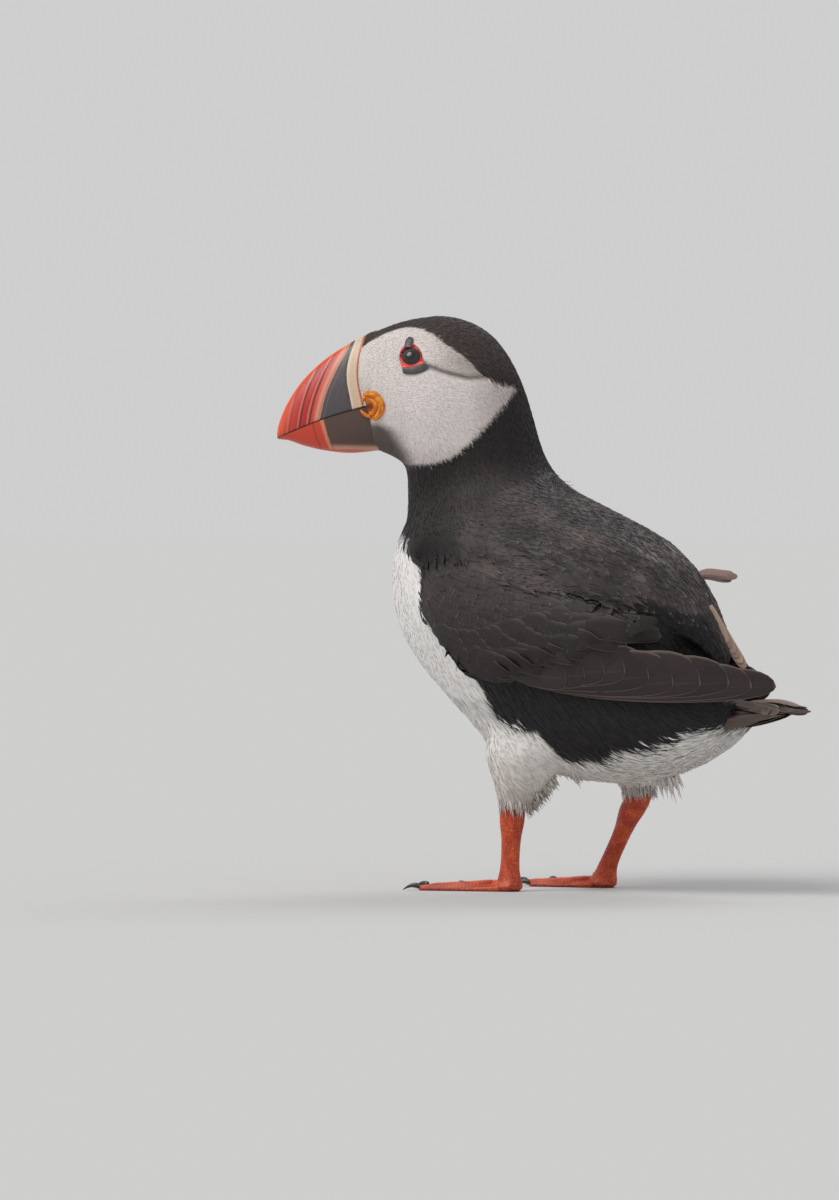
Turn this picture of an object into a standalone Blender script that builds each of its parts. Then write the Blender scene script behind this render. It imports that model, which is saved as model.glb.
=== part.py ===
"""Atlantic puffin, life size: a still model in mid-stride, with its head turned to its left.

Lengths are written in millimetres and stored in metres. The bird's body faces -X, its left
side is -Y and +Z is up, with its soles on Z = 0. The last step slides the whole bird so that
the origin is at the bottom centre of the box round it.

The flesh is one loft from the bill's root over the crown, down the neck and along the trunk to
the tail, parted by thin gaps into head, neck and trunk. Each station of that loft is a chord
from the bird's upper outline to its lower one, with a half-width across it. The bill is one
loft too, parted along its own natural borders.
"""

import math

import bmesh
import bpy
from mathutils import Vector
from mathutils.bvhtree import BVHTree

MM = 0.001
GAP = 0.3  # clear space between neighbouring solids
NECK_X = -35.4  # the upright neck's axis, on the body's middle plane
HEAD_TURN = math.radians(35)  # the head looks this far to the bird's left
SIDES = {"left": 1, "right": -1}

FLESH_POINTS = 20
FLESH_STEPS = 2  # rings to each interval between stations

# Stations of the flesh: share of the head's turn, upper outline point and lower outline point
# (ahead of the neck's axis, height), half-width, and how far the widest place is towards the top.
HEAD_STATIONS = {
    "bill_root": (1.0, (44.0, 188.4), (43.5, 153.4), 7.6, -0.10),
    "lores": (1.0, (36.4, 192.6), (35.6, 151.8), 11.4, -0.10),
    "forehead": (1.0, (27.6, 196.2), (28.6, 149.0), 15.2, -0.12),
    "brow": (1.0, (17.8, 198.4), (25.0, 146.6), 18.4, -0.14),
    "crown": (1.0, (7.2, 198.4), (24.2, 144.6), 20.2, -0.16),
    "hind_crown": (1.0, (-3.2, 194.2), (24.0, 142.8), 21.0, -0.16),
    "occiput": (1.0, (-10.9, 186.2), (24.0, 140.8), 21.4, -0.12),
    "nape": (1.0, (-16.8, 174.6), (24.0, 138.4), 21.4, -0.06),
}
NECK_STATIONS = {
    "upper_neck": (0.92, (-20.8, 162.4), (24.0, 135.2), 21.8, 0.0),
    "middle_neck": (0.64, (-24.6, 150.6), (24.2, 131.0), 23.4, 0.0),
    "lower_neck": (0.30, (-30.4, 142.4), (24.2, 126.6), 26.4, 0.0),
}
TRUNK_STATIONS = {
    "shoulders": (0.08, (-38.6, 137.4), (26.4, 121.0), 31.0, 0.04),
    "mantle": (0.0, (-53.6, 130.8), (29.4, 111.0), 36.2, 0.06),
    "breast": (0.0, (-68.6, 124.6), (29.6, 98.0), 39.4, 0.06),
    "back": (0.0, (-80.4, 117.4), (24.8, 85.0), 40.8, 0.06),
    "loin": (0.0, (-89.6, 108.2), (14.6, 72.4), 40.4, 0.06),
    "belly": (0.0, (-96.2, 98.2), (-1.6, 58.6), 38.4, 0.0),
    "groin": (0.0, (-100.8, 89.4), (-20.6, 45.6), 35.0, -0.04),
    "vent": (0.0, (-104.4, 81.8), (-46.0, 37.6), 30.4, -0.08),
    "rump": (0.0, (-107.6, 76.0), (-76.0, 38.4), 24.6, -0.08),
    "under_tail": (0.0, (-111.0, 71.4), (-97.6, 47.4), 17.6, -0.04),
    "tail_root": (0.0, (-115.6, 68.2), (-109.0, 58.0), 11.0, 0.0),
}

# Bill: chords from the culmen to the lower edge, both (ahead of the neck's axis, height), and
# the half-width.
BILL_STATIONS = {
    "root": ((34.4, 193.4), (33.6, 151.6), 8.8),
    "base": ((42.8, 189.4), (43.4, 150.7), 7.8),
    "middle": ((52.2, 183.4), (52.4, 151.6), 6.5),
    "curve": ((60.0, 176.0), (59.4, 153.2), 5.2),
    "hook": ((65.4, 168.0), (64.6, 155.0), 3.9),
    "point": ((68.2, 161.4), (67.4, 155.4), 2.6),
    "tip": ((69.0, 157.6), (68.8, 155.6), 1.3),
}
BILL_POINTS = 16
BILL_REACH = 20.0  # the bill is nowhere wider than this to either side
BEYOND_BILL = 75.0
# Borders on the side of the bill, from the top down, as (ahead, height) points.
FEATHER_LINE = [(34.6, 196.0), (39.4, 186.5), (41.2, 177.5), (39.4, 169.5), (36.8, 160.0), (35.6, 148.0)]
CERE_LINE = [(38.2, 196.0), (42.8, 187.0), (44.7, 178.0), (43.4, 169.0), (41.6, 160.0)]
UPPER_BAND_LINE = [(40.4, 196.0), (43.6, 188.0), (48.6, 178.6), (52.4, 169.0), (54.4, 158.0)]
LOWER_BAND_LINE = [(53.4, 166.0), (51.6, 158.0), (47.6, 148.0)]
MOUTH_LINE = [(32.0, 168.0), (41.0, 166.0), (52.0, 162.8), (62.0, 158.9), (72.0, 154.6)]

GAPE_CENTRE = (36.3, 166.9)  # the fleshy rosette at the corner of the mouth
GAPE_RADIUS = 4.3
GAPE_THICKNESS = 1.35

EYE_CENTRE = (22.4, 184.1)  # ahead of the neck's axis, height
EYE_BALL_RADIUS = 4.0
EYE_RING_RADIUS = 3.45
EYE_RING_THICKNESS = 0.45
EYE_SOCKET_DEPTH = 7.6

# Wing: place along the body, top and bottom edge, and how far out its outer face stands.
COVERT_STATIONS = [
    (-38.6, 114.6, 107.0, 33.8),
    (-35.4, 118.4, 97.0, 36.4),
    (-28.0, 119.2, 86.4, 39.8),
    (-16.0, 117.4, 75.4, 42.6),
    (0.0, 113.4, 71.8, 44.2),
    (16.0, 109.6, 75.0, 44.0),
    (32.0, 106.2, 80.6, 42.2),
    (46.0, 103.4, 84.8, 39.2),
    (56.0, 99.4, 88.4, 35.2),
    (62.0, 95.6, 92.4, 31.6),
]
FLIGHT_STATIONS = [
    (-4.0, 82.0, 70.8, 40.7),
    (14.0, 90.0, 68.2, 40.8),
    (34.0, 91.0, 66.0, 38.6),
    (50.0, 88.0, 65.0, 34.5),
    (62.0, 83.8, 65.4, 29.4),
    (74.0, 80.0, 67.0, 24.0),
    (84.0, 77.0, 68.8, 18.6),
    (91.0, 74.2, 70.0, 14.0),
    (95.0, 72.4, 71.0, 10.6),
]
WING_CENTRE_Z = 88.0  # the wing curves round this height
WING_CURVE_RADIUS = 46.0
COVERT_THICKNESS = 2.7
FLIGHT_THICKNESS = 1.8
EDGE_THICKNESS = 0.7
SEAT_OPEN = 12.0  # how far out the space cut for a wing reaches
FLIGHT_SEAT_RISE = 5.0  # how far up the flight feathers' space runs in under the coverts
TIP_TUCK = 10.6  # how much closer to the rump the right wing's rear part is folded
TIP_DROP = 1.5  # hangs lower there
TIP_DRAW = 9.0  # and reaches less far back
TUCK_FROM, TUCK_TO = 28.0, 66.0  # along the body, where that begins and is complete

# Shoulder feathers: place along the body, how far down both sides they reach in degrees.
CAPE_STATIONS = [(4, 51), (14, 52), (26, 51), (38, 47), (48, 42), (57, 39), (64, 33), (68, 24)]
CAPE_THICKNESS = 3.4
CAPE_STANDS = 0.5  # its face above the trunk's
RUMP_STATIONS = [(58, 68, 8.0), (64, 78, 8.5), (70, 80, 7.0), (76, 74, 3.2), (79, 62, 0.6)]  # and depth
CAPE_AXIS = (4.0, 88.0, 70.0, 66.0)  # the line that the cape goes round: two places and heights

TAIL_ROOT_X, TAIL_TIP_X = 78.0, 101.0
TAIL_ROOT_Z, TAIL_TIP_Z = 65.0, 63.6
TAIL_HALF_WIDTH = 13.5
TAIL_THICKNESS = 2.6
TAIL_BOW = 1.6  # how far its sides hang
TAIL_ROUNDING = 4.0  # how much shorter the outer feathers are

# Legs: the feathered thigh's middle and foot end, the heel joint, and the ankle over the foot.
LEGS = {
    "left": {
        "thigh_top": (4.0, -18.0, 57.0),
        "thigh_fullness": 1.0,
        "knee": (-5.4, -20.8, 27.4),
        "ankle": (-6.4, -21.4, 5.4),
    },
    "right": {
        "thigh_top": (21.0, 14.0, 48.0),
        "thigh_fullness": 0.5,
        "knee": (23.4, 14.2, 32.0),
        "ankle": (5.4, 19.4, 5.4),
    },
}
THIGH_SIZES = [(16.0, 8.0), (21.5, 13.0), (16.4, 12.2), (11.8, 9.6), (8.2, 7.0), (5.4, 4.9)]  # downwards
SHANK_RADII = [(4.9, 3.6), (3.8, 2.8), (3.6, 2.6), (4.2, 3.2)]  # fore-and-aft and across, downwards
TOES = {  # length without claw, and turn outwards from straight ahead in degrees
    "inner": (27.0, -20.0),
    "middle": (33.5, 2.0),
    "outer": (32.0, 24.0),
}
TOE_ROOT_RADIUS = 2.5
TOE_TIP_RADIUS = 1.25
TOE_END_ROUNDING = 1.4
WEB_THICKNESS = 0.9
WEB_SCALLOP = 2.6  # how far the web's edge curves in between two toes
HEEL_PAD = 5.0  # how far the sole reaches behind the ankle
ANKLE_SIZES = [(5.1, 4.1, 3.1), (3.4, 4.4, 3.5)]  # height, fore-and-aft and across, downwards
TOE_RISE = [(0.22, 4.0), (0.45, 3.2), (0.7, 2.6), (0.92, 2.1), (1.0, 1.5)]  # share along, height
CLAW_LENGTH = 5.4
CLAW_RISE = (1.1, 1.25, 1.0, 0.45)
CLAW_RADII = [(0.95, 0.8), (0.8, 0.7), (0.55, 0.5), (0.2, 0.2)]

# Colour, roughness and metallic value of each finish.
FINISHES = {
    "black_feather": ((0.020, 0.018, 0.018), 0.75, 0.0),
    "white_feather": ((0.80, 0.78, 0.76), 0.80, 0.0),
    "face_feather": ((0.62, 0.58, 0.56), 0.80, 0.0),
    "wing_feather": ((0.030, 0.025, 0.024), 0.65, 0.0),
    "bill_red": ((0.62, 0.10, 0.045), 0.35, 0.0),
    "bill_slate": ((0.090, 0.085, 0.100), 0.40, 0.0),
    "cere_cream": ((0.72, 0.58, 0.42), 0.50, 0.0),
    "gape_yellow": ((0.80, 0.34, 0.04), 0.50, 0.0),
    "eye_ring_red": ((0.60, 0.04, 0.03), 0.45, 0.0),
    "eye": ((0.025, 0.014, 0.010), 0.10, 0.0),
    "leg_orange": ((0.62, 0.14, 0.025), 0.50, 0.0),
    "claw": ((0.018, 0.016, 0.015), 0.35, 0.0),
}


# ---- small helpers


def finish(name):
    found = bpy.data.materials.get(name)
    if found:
        return found
    colour, roughness, metallic = FINISHES[name]
    made = bpy.data.materials.new(name)
    made.use_nodes = True
    shader = made.node_tree.nodes["Principled BSDF"]
    shader.inputs["Base Color"].default_value = (*colour, 1.0)
    shader.inputs["Roughness"].default_value = roughness
    shader.inputs["Metallic"].default_value = metallic
    return made


def make_collection(name):
    made = bpy.data.collections.new(name)
    bpy.context.scene.collection.children.link(made)
    return made


def add_object(name, mesh, collection, material=None):
    obj = bpy.data.objects.new(name, mesh)
    collection.objects.link(obj)
    if material:
        mesh.materials.append(finish(material))
        mesh.shade_smooth()
        mesh.set_sharp_from_angle(angle=math.radians(50))
    return obj


def through(values, place):
    """A smooth curve through equally spaced values (Catmull-Rom), read at a place among them."""
    if isinstance(values[0], (tuple, list)):
        return tuple(through(column, place) for column in zip(*values))
    last = len(values) - 1
    first = max(0, min(int(place), last - 1))
    share = place - first
    before, start, end, after = (values[max(0, min(last, first + k))] for k in (-1, 0, 1, 2))
    square, cube = share**2, share**3
    return (
        (2 * cube - 3 * square + 1) * start
        + (cube - 2 * square + share) * (end - before) / 2
        + (3 * square - 2 * cube) * end
        + (cube - square) * (after - start) / 2
    )


def sampled(values, steps):
    count = (len(values) - 1) * steps
    return [through(values, k / steps) for k in range(count + 1)]


def loft(rings):
    """A closed mesh through rings of equal length, in millimetres, with flat ends."""
    bm = bmesh.new()
    rows = [[bm.verts.new(point * MM) for point in ring] for ring in rings]
    for low, high in zip(rows, rows[1:]):
        for i in range(len(low)):
            j = (i + 1) % len(low)
            bm.faces.new((low[i], low[j], high[j], high[i]))
    bm.faces.new(rows[0][::-1])
    bm.faces.new(rows[-1])
    bmesh.ops.recalc_face_normals(bm, faces=bm.faces)
    mesh = bpy.data.meshes.new("loft")
    bm.to_mesh(mesh)
    bm.free()
    return mesh


def tube(path, radii, across, points=12):
    """A tapered tube along a path, with a radius along and one across the given direction."""
    rings = []
    for k, (centre, (deep, wide)) in enumerate(zip(path, radii)):
        along = (path[min(k + 1, len(path) - 1)] - path[max(k - 1, 0)]).normalized()
        side = (across - along * across.dot(along)).normalized()
        front = along.cross(side)
        angles = [2 * math.pi * i / points for i in range(points)]
        rings.append([centre + front * (deep * math.cos(a)) + side * (wide * math.sin(a)) for a in angles])
    return loft(rings)


def prism(outline, place, start, end):
    """A flat outline of (ahead, height) points, carried from start to end across the bird."""
    bm = bmesh.new()
    face = bm.faces.new([bm.verts.new(place(ahead, start, height) * MM) for ahead, height in outline])
    out = (place(0, end, 0) - place(0, start, 0)) * MM
    grown_part = bmesh.ops.extrude_face_region(bm, geom=[face])
    verts = [item for item in grown_part["geom"] if isinstance(item, bmesh.types.BMVert)]
    bmesh.ops.translate(bm, vec=out, verts=verts)
    bmesh.ops.recalc_face_normals(bm, faces=bm.faces)
    mesh = bpy.data.meshes.new("prism")
    bm.to_mesh(mesh)
    bm.free()
    return mesh


def cutter(name, mesh, cutters):
    made = add_object(name, mesh, cutters)
    made.hide_render = True
    made.display_type = "WIRE"
    return made


def settled_mesh(obj):
    bpy.context.view_layer.update()
    graph = bpy.context.evaluated_depsgraph_get()
    return bpy.data.meshes.new_from_object(obj.evaluated_get(graph))


def grown(obj, by, cutters):
    """A copy of obj a little larger all over, to cut a neighbour with."""
    mesh = settled_mesh(obj)
    mesh.transform(obj.matrix_world)
    bm = bmesh.new()
    bm.from_mesh(mesh)
    bm.normal_update()
    for vert, normal in [(v, v.normal.copy()) for v in bm.verts]:
        vert.co += normal * by * MM * min(1.4, vert.calc_shell_factor())
    bm.to_mesh(mesh)
    bm.free()
    return cutter(obj.name + "_cutter", mesh, cutters)


def boolean(obj, other, operation):
    modifier = obj.modifiers.new(operation.lower() + "_" + other.name, "BOOLEAN")
    modifier.object = other
    modifier.operation = operation
    modifier.solver = "EXACT"


def clear_of(obj, neighbours, cutters):
    """Cuts obj back from its neighbours, leaving a gap."""
    for neighbour in neighbours:
        boolean(obj, grown(neighbour, GAP, cutters), "DIFFERENCE")


# ---- head, neck and trunk


def body_place(turn):
    """Turns (ahead of the neck's axis, to the left, height) into a point, for a given turn."""
    ahead_way = Vector((-math.cos(turn), -math.sin(turn), 0))
    left_way = Vector((math.sin(turn), -math.cos(turn), 0))

    def place(ahead, left, height):
        return Vector((NECK_X, 0, height)) + ahead_way * ahead + left_way * left

    return place


head_place = body_place(HEAD_TURN)


def flesh_ring(stations, number, shift=0.0):
    """The ring at a station, moved by shift back along the loft."""
    turn, upper, lower, half_width, lift = through(stations, number)
    place = body_place(turn * HEAD_TURN)
    top, bottom = place(upper[0], 0, upper[1]), place(lower[0], 0, lower[1])
    left_way = place(0, 1, 0) - place(0, 0, 0)
    reach = (top - bottom) / 2
    middle = (top + bottom) / 2 + left_way.cross(reach.normalized()) * shift
    ring = []
    for k in range(FLESH_POINTS):
        angle = 2 * math.pi * k / FLESH_POINTS
        side = math.sin(angle) * half_width * (1 + lift * math.cos(angle))
        ring.append(middle + reach * math.cos(angle) + left_way * side)
    return ring


def make_flesh(parts):
    stations = [*HEAD_STATIONS.values(), *NECK_STATIONS.values(), *TRUNK_STATIONS.values()]
    neck_start = len(HEAD_STATIONS)
    trunk_start = neck_start + len(NECK_STATIONS)
    end = len(stations) - 1
    flesh = {}
    spans = {
        "head": (0, neck_start, "face_feather"),
        "neck": (neck_start, trunk_start, "black_feather"),
        "trunk": (trunk_start, end, "white_feather"),
    }
    for name, (first, last, material) in spans.items():
        count = (last - first) * FLESH_STEPS
        rings = [flesh_ring(stations, first + k / FLESH_STEPS) for k in range(count + 1)]
        if first > 0:
            rings[0] = flesh_ring(stations, first, -GAP / 2)
        if last < end:
            rings[-1] = flesh_ring(stations, last, GAP / 2)
        flesh[name] = add_object(name, loft(rings), parts, material)
    return flesh


# ---- bill, cere and gape


def bill_ring(number):
    upper, lower, half_width = through(list(BILL_STATIONS.values()), number)
    top, bottom = head_place(upper[0], 0, upper[1]), head_place(lower[0], 0, lower[1])
    left_way = head_place(0, 1, 0) - head_place(0, 0, 0)
    ring = []
    for k in range(BILL_POINTS):
        angle = 2 * math.pi * k / BILL_POINTS
        side = math.sin(angle) * half_width * (1 - 0.22 * math.cos(angle))
        ring.append((top + bottom) / 2 + (top - bottom) / 2 * math.cos(angle) + left_way * side)
    return ring


def line_read(line, wanted, axis):
    """Reads a border line: its other coordinate where coordinate number axis is as wanted."""
    points = sampled(line, 4)
    for low, high in zip(points, points[1:]):
        if (low[axis] - wanted) * (high[axis] - wanted) <= 0:
            share = (wanted - low[axis]) / (high[axis] - low[axis])
            return low[1 - axis] + share * (high[1 - axis] - low[1 - axis])
    return points[-1][1 - axis]


def on_mouth(line):
    """Where a border line meets the mouth line, as an (ahead, height) point."""
    height = 162.0
    for _ in range(6):
        ahead = line_read(line, height, 1)
        height = line_read(MOUTH_LINE, ahead, 0)
    return ahead, height


def bill_region(behind, before, above):
    """The outline of one plate of the bill, between two border lines and the mouth line."""
    inset = GAP / 2
    side = 1 if above else -1
    edge = 200.0 if above else 144.0
    behind_mouth = on_mouth(behind)
    before_mouth = on_mouth(before) if before else (72.0, line_read(MOUTH_LINE, 71.9, 0))
    outline = []
    for k in range(9):
        height = edge + (behind_mouth[1] - edge) * k / 8
        outline.append((line_read(behind, height, 1) + inset, height + (side * inset if k == 8 else 0)))
    for k in range(1, 8):
        ahead = behind_mouth[0] + (before_mouth[0] - behind_mouth[0]) * k / 8
        outline.append((ahead, line_read(MOUTH_LINE, ahead, 0) + side * inset))
    for k in range(9):
        height = before_mouth[1] + (edge - before_mouth[1]) * k / 8
        ahead = line_read(before, height, 1) - inset if before else before_mouth[0]
        outline.append((ahead, height + (side * inset if k == 0 else 0)))
    return outline


def make_bill(parts, cutters):
    plates = {
        "cere": (FEATHER_LINE, CERE_LINE, True, "cere_cream"),
        "upper_bill_base": (CERE_LINE, UPPER_BAND_LINE, True, "bill_slate"),
        "upper_bill_front": (UPPER_BAND_LINE, None, True, "bill_red"),
        "lower_bill_base": (FEATHER_LINE, LOWER_BAND_LINE, False, "bill_slate"),
        "lower_bill_front": (LOWER_BAND_LINE, None, False, "bill_red"),
    }
    steps = (len(BILL_STATIONS) - 1) * 2
    rings = [bill_ring(k / 2) for k in range(steps + 1)]
    bill = {}
    for name, (behind, before, above, material) in plates.items():
        plate = add_object(name, loft(rings), parts, material)
        region = prism(bill_region(behind, before, above), head_place, -BILL_REACH, BILL_REACH)
        boolean(plate, cutter(name + "_region", region, cutters), "INTERSECT")
        bill[name] = plate
    return bill


def surface_at(obj, ahead, height, side):
    """How far out the side of obj is from the head's middle plane, at (ahead, height)."""
    mesh = settled_mesh(obj)
    tree = BVHTree.FromPolygons([v.co for v in mesh.vertices], [p.vertices for p in mesh.polygons])
    inwards = head_place(ahead, 0, height) - head_place(ahead, side, height)
    hit = tree.ray_cast(head_place(ahead, side * 60, height) * MM, inwards)[0]
    return (hit / MM - head_place(ahead, 0, height)).length


def cut_face_for_bill(head, cutters):
    """Ends the face's feathers along the feather line, where the bill begins."""
    edge = [(ahead - GAP / 2, height) for ahead, height in sampled(FEATHER_LINE, 3)]
    outline = edge + [(BEYOND_BILL, height) for height in (145.0, 199.0)]
    region = prism(outline, head_place, -BILL_REACH, BILL_REACH)
    boolean(head, cutter("bill_space", region, cutters), "DIFFERENCE")


def make_gapes(parts):
    """A crescent of wrinkled skin round each corner of the mouth."""
    gapes = []
    for side_name, side in SIDES.items():
        path, radii = [], []
        for k in range(7):
            angle = math.radians(55 + 200 * k / 6)
            ahead = GAPE_CENTRE[0] + GAPE_RADIUS * math.cos(angle)
            height = GAPE_CENTRE[1] + GAPE_RADIUS * 1.1 * math.sin(angle)
            out = 8.9 + 0.44 * (40.0 - ahead)
            path.append(head_place(ahead, side * out, height))
            taper = 0.55 + 0.45 * math.sin(math.pi * k / 6)
            radii.append((GAPE_THICKNESS * taper, GAPE_THICKNESS * taper))
        left_way = head_place(0, 1, 0) - head_place(0, 0, 0)
        gapes.append(add_object("gape_" + side_name, tube(path, radii, left_way, 6), parts, "gape_yellow"))
    return gapes


# ---- eyes


def make_eye(side_name, side, head, parts, cutters):
    """Eyeball, red ring and the two horny plates, in a socket in the side of the head."""
    ahead, height = EYE_CENTRE
    out_way = (head_place(0, side, 0) - head_place(0, 0, 0)).normalized()
    rim = head_place(ahead, side * surface_at(head, ahead, height, side), height)

    bm = bmesh.new()
    bmesh.ops.create_uvsphere(bm, u_segments=14, v_segments=8, radius=EYE_BALL_RADIUS * MM)
    ball = bpy.data.meshes.new("ball")
    bm.to_mesh(ball)
    bm.free()
    ball_depth = math.sqrt(EYE_BALL_RADIUS**2 - (EYE_RING_RADIUS - EYE_RING_THICKNESS - GAP) ** 2)
    eye = add_object("eye_" + side_name, ball, parts, "eye")
    eye.location = (rim - out_way * ball_depth) * MM
    eye.rotation_euler = (math.radians(90), 0, HEAD_TURN)

    def ring_point(angle, radius, out=0.0):
        up = Vector((0, 0, radius * math.sin(angle)))
        across = head_place(radius * math.cos(angle), 0, 0) - head_place(0, 0, 0)
        return rim + across + up + out_way * out

    rows = []
    for k in range(16):
        angle = 2 * math.pi * k / 16
        turns = [2 * math.pi * i / 6 for i in range(6)]
        rows.append(
            [
                ring_point(angle, EYE_RING_RADIUS + EYE_RING_THICKNESS * math.cos(t), 0.5 * math.sin(t))
                for t in turns
            ]
        )
    bm = bmesh.new()
    grid = [[bm.verts.new(point * MM) for point in row] for row in rows]
    for k, row in enumerate(grid):
        following = grid[(k + 1) % len(grid)]
        for i in range(len(row)):
            j = (i + 1) % len(row)
            bm.faces.new((row[i], row[j], following[j], following[i]))
    bmesh.ops.recalc_face_normals(bm, faces=bm.faces)
    ring_mesh = bpy.data.meshes.new("ring")
    bm.to_mesh(ring_mesh)
    bm.free()
    ring = add_object("eye_ring_" + side_name, ring_mesh, parts, "eye_ring_red")

    up_way = Vector((0, 0, 1))
    outer = EYE_RING_RADIUS + EYE_RING_THICKNESS + GAP
    horn_path = [ring_point(math.radians(80), outer + 0.1), ring_point(math.radians(80), outer + 3.4)]
    horn = tube(horn_path, [(1.7, 0.8), (0.5, 0.4)], out_way, 6)
    bar_path = [rim + (head_place(3.9 - 2.6 * k, 0, 0) - head_place(0, 0, 0)) for k in range(4)]
    bar_path = [point - up_way * (outer + 1.0) for point in bar_path]
    bar = tube(bar_path, [(0.7, 0.5), (1.0, 0.8), (1.0, 0.8), (0.5, 0.4)], out_way, 6)
    upper = add_object("eye_plate_upper_" + side_name, horn, parts, "bill_slate")
    lower = add_object("eye_plate_lower_" + side_name, bar, parts, "bill_slate")
    clear_of(head, [upper, lower], cutters)
    socket_path = [rim - out_way * EYE_SOCKET_DEPTH, rim + out_way * EYE_BALL_RADIUS]
    socket = tube(socket_path, [(outer, outer)] * 2, up_way, 14)
    boolean(head, cutter("socket_" + side_name, socket, cutters), "DIFFERENCE")


# ---- wings and tail


def wing_tuck(x):
    """How far the closer fold of the right wing has gone by this place, from 0 to 1."""
    share = max(0.0, min(1.0, (x - TUCK_FROM) / (TUCK_TO - TUCK_FROM)))
    return share * share * (3 - 2 * share)


def wing_mesh(stations, thickness, side, room=0.0, steps=2, across=6):
    """A shell curved round the flank: outer face down from the top edge, inner face back up.

    With room it is the space that the wing needs, open outwards, to cut the trunk with.
    """
    rings = []
    places = sampled(stations, steps)
    for number, (x, top, bottom, out) in enumerate(places):
        x += room * ((number == len(places) - 1) - (number == 0))
        top += room
        bottom -= room
        if side < 0:
            out -= TIP_TUCK * wing_tuck(x)
            top -= TIP_DROP * wing_tuck(x)
            bottom -= TIP_DROP * wing_tuck(x)
            x -= TIP_DRAW * wing_tuck(x)
        faces = {"outer": [], "inner": []}
        for k in range(across):
            share = k / (across - 1)
            z = top + (bottom - top) * share
            curve = math.sqrt(1 - min(0.9, ((z - WING_CENTRE_Z) / WING_CURVE_RADIUS) ** 2))
            thick = EDGE_THICKNESS + (thickness - EDGE_THICKNESS) * math.sin(math.pi * share) ** 0.6
            clear = SEAT_OPEN if room else 0.0
            faces["outer"].append(Vector((x, -side * (out * curve + clear), z)))
            faces["inner"].append(Vector((x, -side * (out * curve - thick - room), z)))
        rings.append(faces["outer"] + faces["inner"][::-1])
    return loft(rings)


def make_wings(parts, carriers, cutters):
    for side_name, side in SIDES.items():
        flight_mesh = wing_mesh(FLIGHT_STATIONS, FLIGHT_THICKNESS, side)
        add_object("flight_feathers_" + side_name, flight_mesh, parts, "wing_feather")
        covert_mesh = wing_mesh(COVERT_STATIONS, COVERT_THICKNESS, side)
        add_object("wing_" + side_name, covert_mesh, parts, "wing_feather")
        under_coverts = [(x, top + FLIGHT_SEAT_RISE, low, out) for x, top, low, out in FLIGHT_STATIONS]
        seats = {
            "flight_seat_": (under_coverts, FLIGHT_THICKNESS),
            "wing_seat_": (COVERT_STATIONS, COVERT_THICKNESS),
        }
        for name, (stations, thickness) in seats.items():
            seat = cutter(name + side_name, wing_mesh(stations, thickness, side, GAP), cutters)
            for carrier in carriers:
                boolean(carrier, seat, "DIFFERENCE")


def make_cape(parts, trunk, cutters):
    """The shoulder feathers as a shell over the back, and the lower rump that they overhang."""
    mesh = settled_mesh(trunk)
    tree = BVHTree.FromPolygons([v.co for v in mesh.vertices], [p.vertices for p in mesh.polygons])
    start_x, start_z, end_x, end_z = CAPE_AXIS

    def face(x, edge, out, points=11):
        """Points across the back at this place, out from the trunk's own surface."""
        axis = Vector((x, 0, start_z + (end_z - start_z) * (x - start_x) / (end_x - start_x)))
        found = []
        for k in range(points):
            angle = math.radians(edge * (2 * k / (points - 1) - 1))
            way = Vector((0, -math.sin(angle), math.cos(angle)))
            found.append(tree.ray_cast(axis * MM, way)[0] / MM + way * out)
        return found

    rings = [
        face(x, edge, CAPE_STANDS) + face(x, edge - 1.5, CAPE_STANDS - CAPE_THICKNESS)[::-1]
        for x, edge in CAPE_STATIONS
    ]
    cape = add_object("scapulars", loft(rings), parts, "black_feather")
    seat = [(x, edge + 2, CAPE_THICKNESS - CAPE_STANDS + 3 * GAP) for x, edge in CAPE_STATIONS[:6]]
    seat[0] = (seat[0][0] - GAP, *seat[0][1:])
    seat += RUMP_STATIONS
    seat_rings = [face(x, edge, SEAT_OPEN) + face(x, edge, -deep)[::-1] for x, edge, deep in seat]
    boolean(trunk, cutter("cape_seat", loft(seat_rings), cutters), "DIFFERENCE")
    return cape


def make_tail(parts):
    rings = []
    for k in range(5):
        share = k / 4
        x = TAIL_ROOT_X + (TAIL_TIP_X - TAIL_ROOT_X) * share
        z = TAIL_ROOT_Z + (TAIL_TIP_Z - TAIL_ROOT_Z) * share
        half_width = TAIL_HALF_WIDTH * (0.62 + 0.38 * share)
        ring = []
        for i in range(16):
            angle = 2 * math.pi * i / 16
            y = half_width * math.cos(angle)
            thick = TAIL_THICKNESS / 2 * (1 - 0.55 * share)
            outwards = (y / TAIL_HALF_WIDTH) ** 2
            height = z - TAIL_BOW * outwards + thick * math.sin(angle)
            ring.append(Vector((x - TAIL_ROUNDING * share * outwards, y, height)))
        rings.append(ring)
    return add_object("tail", loft(rings), parts, "wing_feather")


# ---- legs and feet


def level_ring(centre, deep, wide, points):
    angles = [2 * math.pi * i / points for i in range(points)]
    return [centre + Vector((deep * math.cos(a), wide * math.sin(a), 0)) for a in angles]


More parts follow.
